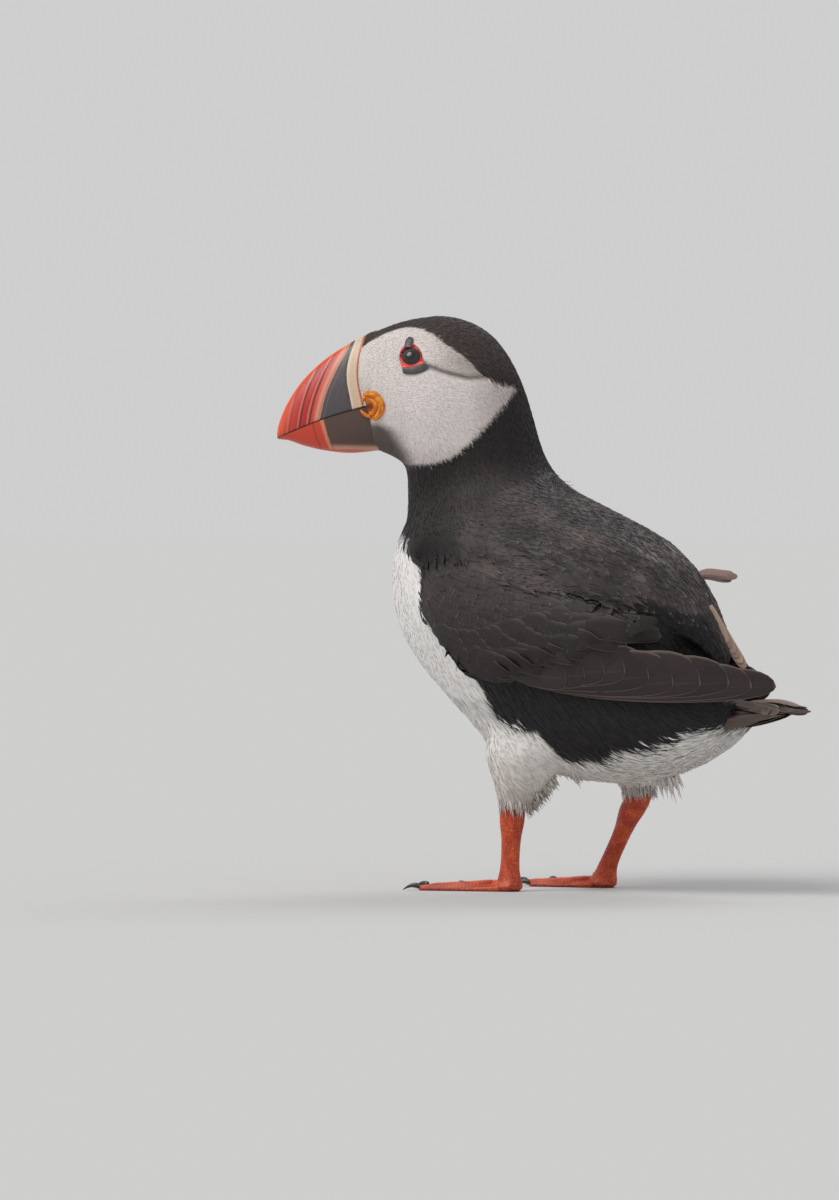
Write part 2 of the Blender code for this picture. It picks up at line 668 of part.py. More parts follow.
def make_leg(side_name, parts, trunk, cutters):
    sizes = LEGS[side_name]
    thigh_top, knee, ankle = (Vector(sizes[key]) for key in ("thigh_top", "knee", "ankle"))

    rings = []
    for k in range(7):
        share = k / 6
        centre = thigh_top.lerp(knee, share)
        deep, wide = through(THIGH_SIZES, share * (len(THIGH_SIZES) - 1))
        deep = THIGH_SIZES[-1][0] + (deep - THIGH_SIZES[-1][0]) * sizes["thigh_fullness"]
        wide = THIGH_SIZES[-1][1] + (wide - THIGH_SIZES[-1][1]) * sizes["thigh_fullness"]
        rings.append(level_ring(centre, deep, wide, 14))
    thigh = add_object("thigh_" + side_name, loft(rings), parts, "white_feather")
    clear_of(thigh, [trunk], cutters)

    start = knee - Vector((0, 0, GAP))
    path = [start.lerp(ankle, k / 3) for k in range(4)]
    rings = [level_ring(centre, *radii, 12) for centre, radii in zip(path, SHANK_RADII)]
    add_object("shank_" + side_name, loft(rings), parts, "leg_orange")


def foot_columns():
    """Lines that run out from under the ankle: turn outwards, reach, share across the toe, ridge.

    Each toe has five, each web one at its scalloped edge, and the heel pad the rest.
    """
    columns = []
    toes = list(TOES.values())
    for number, (length, turn) in enumerate(toes):
        for share, ridge in ((-1, 0.0), (-0.6, 0.75), (0, 1.0), (0.6, 0.75), (1, 0.0)):
            columns.append((turn, length - TOE_END_ROUNDING * abs(share), share, ridge))
        if number + 1 < len(toes):
            next_length, next_turn = toes[number + 1]
            columns.append(((turn + next_turn) / 2, (length + next_length) / 2 - WEB_SCALLOP, 0, 0.0))
    columns += [(turn, HEEL_PAD, 0, 0.0) for turn in (70, 125, 180, 235, 290)]
    return columns


def make_foot(side_name, side, parts):
    """Three toes joined by a web, flat underneath, and a claw on each toe."""
    ankle = Vector(LEGS[side_name]["ankle"])
    heel = Vector((ankle.x, ankle.y, 0))
    up_way = Vector((0, 0, 1))

    def out_way(turn):
        angle = math.radians(turn)
        return Vector((-math.cos(angle), -side * math.sin(angle), 0))

    rings = [[] for _ in range(len(ANKLE_SIZES) + len(TOE_RISE) + 1)]
    for turn, reach, share, ridge in foot_columns():
        away, across = out_way(turn), out_way(turn + 90)
        on_toe = reach > HEEL_PAD
        for number, (height, deep, wide) in enumerate(ANKLE_SIZES):
            lean = turn + 7 * share
            ankle_way = Vector((out_way(lean).x * deep, out_way(lean).y * wide, height))
            rings[number].append(heel + ankle_way)
        for number, (along, rise) in enumerate(TOE_RISE):
            reached = reach * along if on_toe else reach * (0.94 + 0.06 * along)
            radius = min(TOE_ROOT_RADIUS + (TOE_TIP_RADIUS - TOE_ROOT_RADIUS) * along, 0.15 * reached)
            skin = WEB_THICKNESS + (1.4 * (1 - along) if on_toe else 1.6 * (1 - along))
            point = heel + away * reached + across * (radius * share)
            rings[len(ANKLE_SIZES) + number].append(point + up_way * (skin + ridge * (rise - skin)))
        rings[-1].append(heel + away * reached + across * (radius * share))
    add_object("foot_" + side_name, loft(rings), parts, "leg_orange")

    for toe, (length, turn) in TOES.items():
        away = out_way(turn)
        path = [heel + away * (length + GAP + CLAW_LENGTH * k / 3) for k in range(4)]
        path = [point + up_way * height for point, height in zip(path, CLAW_RISE)]
        claw = tube(path, CLAW_RADII, up_way, 8)
        add_object("claw_" + toe + "_" + side_name, claw, parts, "claw")


# ---- the whole bird


def centre_on_origin(parts, cutters):
    """Slides everything so that the origin is at the bottom centre of the bird's box."""
    corners = [obj.matrix_world @ v.co for obj in parts.objects for v in settled_mesh(obj).vertices]
    low = Vector([min(corner[axis] for corner in corners) for axis in range(3)])
    high = Vector([max(corner[axis] for corner in corners) for axis in range(3)])
    anchor = bpy.data.objects.new("bird", None)
    parts.objects.link(anchor)
    for obj in [*parts.objects, *cutters.objects]:
        if obj is not anchor:
            obj.parent = anchor
    anchor.location = (-(low.x + high.x) / 2, -(low.y + high.y) / 2, 0)


def main():
    for obj in list(bpy.data.objects):
        bpy.data.objects.remove(obj)
    parts = make_collection("atlantic_puffin")
    cutters = make_collection("cutters")

    flesh = make_flesh(parts)
    bill = make_bill(parts, cutters)
    cut_face_for_bill(flesh["head"], cutters)
    gapes = make_gapes(parts)
    for piece in (flesh["head"], bill["cere"], bill["lower_bill_base"], bill["upper_bill_base"]):
        clear_of(piece, gapes, cutters)
    for side_name, side in SIDES.items():
        make_eye(side_name, side, flesh["head"], parts, cutters)

    cape = make_cape(parts, flesh["trunk"], cutters)
    make_wings(parts, [flesh["trunk"], cape], cutters)
    tail = make_tail(parts)
    for side_name, side in SIDES.items():
        make_leg(side_name, parts, flesh["trunk"], cutters)
        make_foot(side_name, side, parts)
    clear_of(flesh["trunk"], [tail], cutters)
    centre_on_origin(parts, cutters)


main()
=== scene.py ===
import math

import bmesh
import bpy
import numpy as np
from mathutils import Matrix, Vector, noise
from mathutils.bvhtree import BVHTree


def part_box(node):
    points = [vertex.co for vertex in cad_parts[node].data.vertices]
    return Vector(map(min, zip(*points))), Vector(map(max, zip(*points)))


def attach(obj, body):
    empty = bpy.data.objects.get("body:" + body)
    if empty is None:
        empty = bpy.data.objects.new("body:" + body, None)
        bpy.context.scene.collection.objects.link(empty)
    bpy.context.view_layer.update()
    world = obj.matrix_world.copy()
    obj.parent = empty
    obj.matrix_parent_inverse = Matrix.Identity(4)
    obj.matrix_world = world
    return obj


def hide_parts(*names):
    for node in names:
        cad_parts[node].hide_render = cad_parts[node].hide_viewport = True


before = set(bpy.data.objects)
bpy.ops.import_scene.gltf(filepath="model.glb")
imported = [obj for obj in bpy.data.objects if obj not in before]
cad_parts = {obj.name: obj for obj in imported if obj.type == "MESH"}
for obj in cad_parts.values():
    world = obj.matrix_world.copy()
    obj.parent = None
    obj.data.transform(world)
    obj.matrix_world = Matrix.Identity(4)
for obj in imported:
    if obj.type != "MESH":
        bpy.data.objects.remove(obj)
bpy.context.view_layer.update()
mm = 0.001
chance = np.random.default_rng(7)

# The bird faces -X with its left side at -Y. Its head is turned to its left about the neck's axis.
pose = {"headTurn": math.radians(35), "eyeAhead": 22.4, "neckAxisX": -35.4}

aheadWay = Vector((-math.cos(pose["headTurn"]), -math.sin(pose["headTurn"]), 0))
leftWay = Vector((math.sin(pose["headTurn"]), -math.cos(pose["headTurn"]), 0))


def middle(node):
    low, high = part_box(node)
    return (low + high) / 2


eyesMiddle = (middle("eye_left") + middle("eye_right")) / 2
neckAxis = eyesMiddle - aheadWay * pose["eyeAhead"] * mm
neckAxis.z = 0
bodyShift = neckAxis.x / mm - pose["neckAxisX"]  # the frame's origin from the body's own, along X


def headPoint(ahead, left, height):
    return neckAxis + (aheadWay * ahead + leftWay * left + Vector((0, 0, height))) * mm


def bodyPoint(x, y, z):
    return Vector((x + bodyShift, y, z)) * mm


# Ahead, left and height in millimetres
def headPlaces(points):
    away = (points - np.array(neckAxis)) / mm
    return away @ np.array(aheadWay), away @ np.array(leftWay), points[:, 2] / mm


def bodyPlaces(points):
    return points[:, 0] / mm - bodyShift, points[:, 1] / mm, points[:, 2] / mm


# A colour as it shows on a screen, made linear
def linear(*shown):
    return tuple(((c / 255 + 0.055) / 1.055) ** 2.4 if c > 10 else c / 255 / 12.92 for c in shown)


# A shader socket that takes part in sums
class Value:

    def __init__(self, paint, socket):
        self.paint, self.socket = paint, socket

    def sum(self, operation, *values):
        return self.paint.node("ShaderNodeMath", {"operation": operation}, dict(enumerate(values)))

    def absolute(self):
        return self.sum("ABSOLUTE", self)

    def most(self, other):
        return self.sum("MAXIMUM", self, other)

    # 0 below low, 1 above high and smooth between; either way round
    def between(self, low, high):
        sockets = {"Value": self, "From Min": low, "From Max": high}
        return self.paint.node("ShaderNodeMapRange", {"interpolation_type": "SMOOTHSTEP"}, sockets)


# Its operators, and the same with the number on the left
for operator, operation in {"add": "ADD", "sub": "SUBTRACT", "mul": "MULTIPLY", "truediv": "DIVIDE"}.items():
    setattr(Value, f"__{operator}__", lambda self, other, kind=operation: self.sum(kind, self, other))
    setattr(Value, f"__r{operator}__", lambda self, other, kind=operation: self.sum(kind, other, self))


# One material, built up by expressions
class Paint:

    def __init__(self, name, **constants):
        self.material = bpy.data.materials.new(name)
        self.material.use_nodes = True
        self.tree = self.material.node_tree
        self.shader = self.tree.nodes["Principled BSDF"]
        for key, value in constants.items():
            self.shader.inputs[key.replace("_", " ")].default_value = value

    def node(self, kind, settings=None, sockets=None, output=0):
        made = self.tree.nodes.new(kind)
        for key, value in (settings or {}).items():
            if key == "curve":
                line = made.mapping.curves[0]
                while len(line.points) < len(value):
                    line.points.new(0.5, 0.5)
                for point, place in zip(line.points, value):
                    point.location = place
                made.mapping.update()
            else:
                setattr(made, key, value)
        for key, value in (sockets or {}).items():
            self.feed(made.inputs[key], value)
        return Value(self, made.outputs[output])

    def feed(self, socket, value):
        if isinstance(value, Value):
            self.tree.links.new(value.socket, socket)
        elif isinstance(value, (tuple, list)) and socket.type == "RGBA":
            socket.default_value = (*value, 1)[:4]
        else:
            socket.default_value = value

    def mix(self, share, first, second, blend="MIX"):
        settings = {"data_type": "RGBA", "blend_type": blend}
        return self.node("ShaderNodeMix", settings, {0: share, 6: first, 7: second}, 2)

    # Colours laid over the first in turn, each by its share
    def layers(self, colour, *layers):
        for share, over in layers:
            colour = self.mix(share, colour, over)
        return colour

    # Object coordinates in millimetres, about an origin
    def place(self, origin=(0, 0, 0)):
        where = self.node("ShaderNodeTexCoord", output=3)
        sockets = {"Vector": where, "Location": [-v * 1000 for v in origin], "Scale": (1000, 1000, 1000)}
        return self.node("ShaderNodeMapping", None, sockets)

    def split(self, vector):
        return [self.node("ShaderNodeSeparateXYZ", None, {0: vector}, k) for k in range(3)]

    def join(self, *parts):
        return self.node("ShaderNodeCombineXYZ", None, dict(enumerate(parts)))

    def dot(self, vector, way):
        sockets = {0: vector, 1: tuple(way)}
        return self.node("ShaderNodeVectorMath", {"operation": "DOT_PRODUCT"}, sockets, 1)

    def speckle(self, scale, vector, detail=2.0, stretch=None):
        if stretch:
            vector = self.node("ShaderNodeMapping", None, {"Vector": vector, "Scale": stretch})
        return self.node("ShaderNodeTexNoise", None, {"Vector": vector, "Scale": scale, "Detail": detail})

    def attribute(self, name, output=2):
        return self.node("ShaderNodeAttribute", {"attribute_name": name}, None, output)

    def bump(self, height, distance, strength=1.0):
        sockets = {"Height": height, "Distance": distance, "Strength": strength}
        self.feed(self.shader.inputs["Normal"], self.node("ShaderNodeBump", None, sockets))

    def set(self, **values):
        for key, value in values.items():
            self.feed(self.shader.inputs[key.replace("_", " ")], value)
        return self.material


# Feathers: each has its own tone, a shaft, fine barbs and a paler worn fringe
def vanePaint(name, roughness, shaft, fringe, barbs, edge=0.82, sheen=0.0, end=None):
    paint = Paint(name, Sheen_Weight=sheen, Sheen_Roughness=0.45, Specular_IOR_Level=0.35)
    tone, worn = paint.attribute("tone", 0), paint.attribute("worn")
    across, along, _ = paint.split(paint.node("ShaderNodeUVMap", {"uv_map": "vane"}))
    side = (across - 0.5).absolute() * 2
    barbLine = along * 26 - side * 5  # 26 waves of barbs along a vane, slanted off the shaft
    streak = paint.speckle(1.0, paint.join(barbLine * 3, across * 2))
    rim = side.between(edge, 1.0).most(along.between(end or edge, 1.0)) * along.between(0.25, 0.6) * worn
    tint = paint.layers(
        tone,
        (rim, paint.mix(1.0, tone, fringe, "ADD")),
        ((1 - side.between(0.03, 0.08)) * shaft * along.between(1.0, 0.9), fringe),
        (streak.between(0.3, 0.7) * barbs, (0.0, 0.0, 0.0)),
    )
    paint.bump(streak, 0.00006, 0.5)
    return paint.set(Base_Color=tint, Roughness=roughness + (streak - 0.5) * 0.2)


whitePaint = vanePaint("whiteFeather", 0.85, 0.0, (0.1, 0.1, 0.1), 0.05, sheen=0.15)
darkPaint = vanePaint("darkFeather", 0.6, 0.03, linear(66, 58, 56), 0.12, sheen=0.05)
wingPaint = vanePaint("wingFeather", 0.5, 0.1, linear(96, 82, 78), 0.15, sheen=0.03)
quillPaint = vanePaint("quill", 0.5, 0.12, linear(104, 88, 80), 0.2, edge=0.9, end=0.985)
covertPaint = vanePaint("covert", 0.55, 0.07, linear(76, 63, 58), 0.2, edge=0.86, end=0.93)


def linked(name, data):
    obj = bpy.data.objects.new(name, data)
    bpy.context.scene.collection.objects.link(obj)
    return obj


def opened(mesh):
    bm = bmesh.new()
    bm.from_mesh(mesh)
    return bm


def closed(bm, name):
    mesh = bpy.data.meshes.new(name)
    bm.to_mesh(mesh)
    bm.free()
    return mesh


fleshNodes = ["head", "neck", "trunk", "scapulars", "thigh_left", "thigh_right", "wing_left", "wing_right"]
skinLook = {
    "voxel": 0.00115, "grow": 0.0004, "smoothing": 14, "faceDepth": 0.8, "bodyDepth": 1.0,
    # where solids meet, the skin is evened out: (along, aside, height), reach each way, and turns
    "evened": [((-20, 17, 56), (17, 17, 17), 90), ((36, 34, 102), (32, 16, 10), 80),
               ((-20, 34, 118), (24, 14, 9), 60), ((-20, 38, 84), (16, 12, 14), 40)],
}


# Adds a CAD node's mesh to bm, made whole and a little larger
def mergedCopy(bm, node, grow=0.0):
    part = opened(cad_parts[node].data)
    bmesh.ops.remove_doubles(part, verts=part.verts, dist=0.00001)
    part.normal_update()
    moves = [(v, v.normal * grow * min(1.4, v.calc_shell_factor())) for v in part.verts]
    for vert, move in moves:
        vert.co += move
    mesh = closed(part, node)
    bm.from_mesh(mesh)
    bpy.data.meshes.remove(mesh)


def nodeTree(node):
    bm = bmesh.new()
    mergedCopy(bm, node)
    tree = BVHTree.FromBMesh(bm)
    bm.free()
    return tree


def newPiece(name, mesh, slot, material, replaces=()):
    bm = opened(mesh)
    if bm.calc_volume(signed=True) < 0:
        mesh.flip_normals()
    bm.free()
    obj = linked(name, mesh)
    mesh.materials.append(material)
    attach(obj, "root")
    if replaces:
        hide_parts(*replaces)


# One closed mesh round everything in bm
def remeshed(bm, name, voxel, smoothing):
    obj = linked(name, closed(bm, name))
    remesh = obj.modifiers.new("remesh", "REMESH")
    remesh.mode, remesh.voxel_size = "VOXEL", voxel
    smooth = obj.modifiers.new("smooth", "SMOOTH")
    smooth.factor, smooth.iterations = 0.5, smoothing
    bpy.context.view_layer.update()
    done = bpy.data.meshes.new_from_object(obj.evaluated_get(bpy.context.evaluated_depsgraph_get()))
    bpy.data.objects.remove(obj)
    done.name = name
    return done


def pointsOf(mesh, what="co"):
    points = np.empty(len(mesh.vertices) * 3)
    mesh.vertices.foreach_get(what, points)
    return points.reshape(-1, 3)


def normalsOf(mesh):
    return pointsOf(mesh, "normal")


def movePoints(mesh, points):
    mesh.vertices.foreach_set("co", points.ravel())
    mesh.update()


def unit(vectors):
    return vectors / np.maximum(np.linalg.norm(vectors, axis=-1, keepdims=True), 1e-12)


def smoothstep(low, high, values):
    share = np.clip((values - low) / (high - low), 0, 1)
    return share * share * (3 - 2 * share)


# Distance from each place to a line of (ahead, height) points
def nearLine(ahead, height, line):
    best = np.full(len(ahead), 1e9)
    for (x0, z0), (x1, z1) in zip(line, line[1:]):
        dx, dz = x1 - x0, z1 - z0
        share = np.clip(((ahead - x0) * dx + (height - z0) * dz) / (dx * dx + dz * dz), 0, 1)
        best = np.minimum(best, np.hypot(ahead - x0 - share * dx, height - z0 - share * dz))
    return best


eyeLook = {"ball": 4.0, "opening": 3.35, "lid": 5.0, "lidRise": 0.35}
furrowLine = [(18.0, 181.4), (12.0, 179.2), (8.5, 178.1), (2.0, 176.6), (-3.0, 177.2)]


# Evens out the surface near a place: share 1 at it, down to 0 at reach
def evened(mesh, points, centre, reach, turns, pull=0.9):
    ends = np.array([edge.vertices[:] for edge in mesh.edges])
    apart = np.linalg.norm((points - np.array(bodyPoint(*centre))) / (np.array(reach) * mm), axis=1)
    share = smoothstep(1.0, 0.4, apart)[:, None]
    joined = np.bincount(ends.ravel(), minlength=len(points))[:, None]
    for _ in range(turns):
        total = np.zeros_like(points)
        for k in range(3):
            for one, other in ((0, 1), (1, 0)):
                total[:, k] += np.bincount(ends[:, one], points[ends[:, other], k], len(points))
        points = points + (total / joined - points) * share * pull
    return points


def makeSkin():
    bm = bmesh.new()
    for node in fleshNodes + ["eye_left", "eye_right"]:
        mergedCopy(bm, node, skinLook["grow"])
    mesh = remeshed(bm, "skin", skinLook["voxel"], skinLook["smoothing"])
    points = pointsOf(mesh)
    for side in (1, -1):
        for (along, aside, height), reach, turns in skinLook["evened"]:
            points = evened(mesh, points, (along, side * aside, height), reach, turns)
    movePoints(mesh, points)
    points, normals = pointsOf(mesh), normalsOf(mesh)
    ahead, _, height = headPlaces(points)
    onHead = smoothstep(138, 150, height) * smoothstep(-24, -16, ahead)
    depth = skinLook["bodyDepth"] + (skinLook["faceDepth"] - skinLook["bodyDepth"]) * onHead
    x, _, z = bodyPlaces(points)
    depth -= 1.3 * np.exp(-(((x + 24) / 8) ** 2 + ((z - 55) / 7) ** 2))  # a fuller lower breast
    furrow = np.exp(-((nearLine(ahead, height, furrowLine) / 1.3) ** 2)) * onHead * 0.7
    hollow = np.exp(-(((ahead - 24) / 9) ** 2 + ((height - 184) / 6) ** 2)) * onHead * 0.3
    points -= normals * ((depth + furrow + hollow) * mm)[:, None]
    for side, sign in (("left", 1), ("right", -1)):
        out = np.array(leftWay) * sign
        away = points - np.array(middle("eye_" + side))
        outwards = away @ out
        spread = np.linalg.norm(away - outwards[:, None] * out, axis=1) / mm
        near = (spread < eyeLook["lid"] + 3) & (outwards > -1.5 * mm)
        ball = np.sqrt(np.maximum(eyeLook["ball"] ** 2 - spread**2, 0)) - 1.7
        inside = near & (spread < eyeLook["opening"])
        points[inside] += ((ball * mm - outwards)[:, None] * out)[inside]
        lid = np.exp(-(((spread - eyeLook["opening"] - 0.9) / 0.9) ** 2)) * eyeLook["lidRise"] * mm
        rim = near & ~inside
        points[rim] += (lid[:, None] * out)[rim]
    movePoints(mesh, points)
    mesh.shade_smooth()
    return mesh


print("skin")
skinMesh = makeSkin()
skinPoints, skinNormals = pointsOf(skinMesh), normalsOf(skinMesh)
skinFaces = np.array([p.vertices[:] for p in skinMesh.polygons])
skinTree = BVHTree.FromPolygons(skinPoints.tolist(), skinFaces.tolist())
faceNormals = unit(skinNormals[skinFaces].sum(axis=1))
print("skin faces", len(skinFaces))


# The nearest places on the skin, with the skin's smooth normals there
def settled(points):
    places, normals = np.empty_like(points), np.empty_like(points)
    for k, point in enumerate(points):
        place, _, face, _ = skinTree.find_nearest(point)
        places[k], normals[k] = place, faceNormals[face]
    return places, normals


faceTop = [(41, 186.0), (37.5, 188.7), (31.6, 192), (27, 193.7), (23, 194.3), (19, 193.7), (15.1, 192)]
faceTop += [(11.1, 188.7), (5.2, 184.7), (1.9, 181.8), (-1.4, 178.1), (-4.7, 175.8), (-8.7, 173.9)]
faceTop += [(-13.9, 173.2)]
faceFoot = [(41, 150), (23, 146.5), (15.1, 146.8), (8.5, 148.8), (1.9, 154.1), (-4.7, 161.3), (-10.6, 167.9)]
faceFoot += [(-13.9, 173)]
chinLine = [(23, 147.5), (25.7, 152.7), (29, 158), (34.2, 161.6), (40, 163)]
# the black above and behind, the white below and in front of it: (along the body, height)
bodyBorder = [(-64, 121.5), (-50, 121), (-43, 119), (-38, 113), (-36, 106), (-32, 97), (-26, 88), (-18, 79.5)]
bodyBorder += [(-10, 70), (-7, 60), (0, 56.5), (12, 54), (18, 45), (34, 44.5), (41, 48.8), (48, 48.5)]
bodyBorder += [(59, 51.5), (65, 55.5), (73, 57), (80, 59.5), (86, 57), (110, 56)]
gapeLook = {"centre": (36.8, 166.8), "radius": 4.15, "thick": 1.3, "start": 62, "sweep": 190, "folds": 41}
tones = {
    "cap": linear(62, 52, 51),
    "neck": linear(31, 26, 26),
    "mantle": linear(60, 54, 55),
    "mantlePale": linear(92, 82, 79),
    "mantleDark": linear(36, 32, 33),
    "wing": linear(43, 37, 37),
    "wingBrown": linear(66, 53, 50),
    "flank": linear(27, 25, 28),
    "rump": linear(76, 66, 64),
    "face": linear(226, 217, 214),
    "faceGrey": linear(168, 155, 150),
    "chin": linear(104, 92, 88),
    "furrow": linear(58, 50, 48),
    "breast": linear(238, 236, 234),
    "belly": linear(226, 219, 211),
    "thigh": linear(150, 140, 132),
    # painted shade: the rump in deep shadow between the shoulder feathers and the wing, painted near-black
    "hollow": linear(7, 6, 6),
    "gape": linear(204, 116, 24),
    # painted shade in the sunken middle of the rosette
    "gapeCoreShade": linear(120, 52, 14),
}


def readLine(line, where):
    order = sorted(line)
    return np.interp(where, [p[0] for p in order], [p[1] for p in order])


# Tones or colours laid over the first in turn, each by its share
def layered(colours, *layers):
    for tone, share in layers:
        over = np.array(tones[tone]) if isinstance(tone, str) else tone
        colours = colours + (over - colours) * np.clip(share, 0, 1)[:, None]
    return colours


def plain(tone, points):
    return np.tile(np.array(tones[tone]), (len(points), 1))


def fromGape(ahead, height):
    return np.hypot(ahead - gapeLook["centre"][0], (height - gapeLook["centre"][1]) / 1.1)


# A slow smooth noise from about -1 to 1
def wander(points, scale, seed=0.0):
    return np.array([noise.noise(Vector(p) * (scale / mm) + Vector((seed, 0, 0))) for p in points]) * 1.6


# The colour at each place, with its borders a little ragged
def markings(points, ragged=0.0):
    ahead, _, height = headPlaces(points)
    x, y, z = bodyPlaces(points)
    ragged = np.broadcast_to(ragged, len(points))
    broad = wander(points, 0.11, 5.0)
    mantle = smoothstep(-34, -8, x) * smoothstep(150, 134, z)
    # painted shade: where the rump lies in deep shadow under the shoulder feathers, above the near wing
    hollow = smoothstep(42, 47, x) * smoothstep(1.0, -1.0, z - 102.5 + (x - 45) * 0.45)
    hollow = hollow * smoothstep(70, 76, z)
    border = readLine(bodyBorder, x + ragged * 0.8) + ragged * 1.2
    white = smoothstep(0.6, -0.6, z - border) * (height < 137)
    body = layered(
        plain("neck", points),
        ("mantle", mantle),
        ("mantlePale", mantle * smoothstep(-0.1, 0.9, broad) * 0.6),
        ("mantleDark", mantle * smoothstep(0.1, -0.9, broad) * 0.6),
        ("rump", smoothstep(40, 62, x) * smoothstep(112, 96, z) * 0.5),
        ("hollow", hollow * smoothstep(4, -4, y)),
        ("cap", smoothstep(166, 182, height + ahead * 0.3) * smoothstep(-30, -20, ahead)),
        ("flank", smoothstep(84, 74, z) * smoothstep(-20, -6, x)),
        (layered(plain("breast", points), ("belly", smoothstep(70, 30, z))), white),
        ("thigh", white * smoothstep(40, 28, z) * smoothstep(-12, -16, y) * 0.6),
    )
    # The face's own grey lies above the furrow and towards the back; the greying along its lower part is
    # painted shade, and the paling towards the bill and below it (lean) is painted light
    lean = smoothstep(-16, 30, ahead) * smoothstep(190, 150, height + ahead * 0.2)
    grey = smoothstep(20, 2, ahead) * smoothstep(174, 182, height) * 0.8 + smoothstep(8, -12, ahead) * 0.5
    grey = grey + smoothstep(156, 146, height) * 0.5 + wander(points, 0.09) * 0.08 - lean * 0.1
    dusk = smoothstep(-4, 3, ahead - readLine([(b, a) for a, b in chinLine], height)) * (height < 163)
    face = layered(
        plain("face", points),
        ("faceGrey", grey),
        ("chin", dusk * smoothstep(163, 159, height)),
        ("furrow", np.exp(-((nearLine(ahead, height, furrowLine) / 0.9) ** 2)) * 0.75),
    )
    top, foot = readLine(faceTop, ahead + ragged), readLine(faceFoot, ahead + ragged)
    inFace = smoothstep(-0.3, 0.3, top - height + ragged * 0.4)
    inFace = inFace * smoothstep(-0.4, 0.4, height - foot + ragged * 0.6) * (ahead > -14) * (height > 144)
    gape = fromGape(ahead, height)
    return layered(
        body,
        (face, inFace),
        ("gape", smoothstep(4.8, 4.2, gape) * (ahead > 25)),
        # painted shade darkens the rosette's middle
        ("gapeCoreShade", smoothstep(1.9, 0.9, gape) * (ahead > 25)),
    )


# (ahead, left, height) and the way that feathers lie there, on the head; both sides alike
headLie = [
    ((40, 2, 190), (-1, 0, 0.4)), ((30, 8, 193), (-1, 0, 0.3)), ((20, 0, 198), (-1, 0, 0)),
    ((5, 0, 198), (-1, 0, -0.2)), ((-5, 6, 190), (-0.6, 0, -0.8)), ((-12, 4, 180), (-0.3, 0, -1)),
    ((-18, 4, 168), (-0.3, 0, -1)), ((39, 9, 180), (-1, 0.35, 0)), ((38, 9, 165), (-1, 0.3, -0.4)),
    ((30, 14, 186), (-1, 0.2, 0.2)), ((22, 17, 191), (-1, 0, 0.05)), ((22, 18, 176), (-1, 0, -0.3)),
    ((8, 20, 184), (-1, 0, -0.4)), ((8, 21, 170), (-1, 0, -0.6)), ((0, 20, 160), (-0.8, 0, -0.9)),
    ((-10, 15, 172), (-0.6, 0, -0.9)), ((30, 10, 156), (-0.8, 0.3, -0.8)), ((30, 0, 152), (-0.7, 0, -0.8)),
    ((25, 0, 144), (-0.2, 0, -1)), ((20, 15, 150), (-0.6, 0, -0.9)), ((30, 14, 168), (-0.9, 0, -0.6)),
]
# the same on the body: (along, left, height)
bodyLie = [
    ((-35, 22, 138), (0.1, 0, -1)), ((-60, 0, 130), (0, 0, -1)), ((-12, 0, 148), (0.5, 0, -0.9)),
    ((-66, 0, 115), (0, 0, -1)), ((-64, 0, 95), (0.25, 0, -1)), ((-52, 0, 75), (0.6, 0, -0.8)),
    ((-30, 0, 55), (0.8, 0, -0.6)), ((-10, 0, 45), (0.9, 0, -0.35)), ((20, 0, 38), (0.95, 0, -0.3)),
    ((50, 0, 40), (0.95, 0, -0.1)), ((70, 0, 48), (1, 0, 0.1)), ((-55, 25, 105), (0.3, 0, -1)),
    ((-35, 35, 80), (0.6, 0, -0.8)), ((-5, 38, 65), (0.6, 0, -0.8)), ((20, 33, 52), (0.65, 0, -0.75)),
    ((50, 25, 55), (0.8, 0, -0.6)), ((68, 16, 58), (0.9, 0, -0.4)), ((80, 12, 64), (1, 0, -0.1)),
    ((35, 28, 50), (0.7, 0, -0.7)), ((10, 34, 60), (0.6, 0, -0.8)), ((-15, 0, 135), (0.6, 0, -0.6)),
    ((10, 0, 122), (0.8, 0, -0.5)), ((30, 0, 112), (0.85, 0, -0.5)), ((50, 0, 98), (0.75, 0, -0.65)),
    ((65, 0, 82), (0.7, 0, -0.7)), ((75, 0, 70), (0.9, 0, -0.3)), ((-30, 28, 122), (0.8, 0, -0.6)),
    ((0, 30, 115), (0.95, 0, -0.3)), ((30, 25, 105), (0.95, 0, -0.35)), ((50, 18, 92), (0.85, 0, -0.5)),
    ((-34, 37, 104), (0.75, 0, -0.65)), ((-10, 42, 95), (1, 0, -0.2)), ((20, 43, 92), (1, 0, -0.15)),
    ((45, 38, 93), (1, 0, -0.15)), ((-20, 41, 82), (0.9, 0, -0.35)), ((4, 24, 44), (0.75, 0, -0.7)),
    ((-14, 25, 56), (0.75, 0, -0.7)), ((-2, 27, 52), (0.85, 0, -0.55)), ((-8, 25, 42), (0.7, 0, -0.75)),
    ((-12, 18, 40), (0.3, 0, -1)), ((-5, 21, 30), (0.25, 0, -1)), ((21, 16, 40), (0.2, 0, -1)),
]


def lieGuides():
    places, ways = [], []
    for (a, b, c), (da, db, dc) in headLie:
        for side in (1, -1):
            places.append(headPoint(a, b * side, c))
            ways.append(aheadWay * da + leftWay * db * side + Vector((0, 0, dc)))
    for (x, y, z), (dx, dy, dz) in bodyLie:
        for side in (1, -1):
            places.append(bodyPoint(x, y * side, z))
            ways.append(Vector((dx, dy * side, dz)))
    return np.array(places), unit(np.array(ways))


guidePlaces, guideWays = lieGuides()


# The way that feathers lie at each place, along the skin
def lie(points, normals, batch=4000, soften=30):
    found = np.empty_like(points)
    for start in range(0, len(points), batch):
        some = slice(start, start + batch)
        apart = ((points[some, None, :] - guidePlaces[None]) ** 2).sum(axis=2) / mm**2
        found[some] = (1 / (apart + soften) ** 2) @ guideWays
    return unit(found - (found * normals).sum(axis=1)[:, None] * normals)


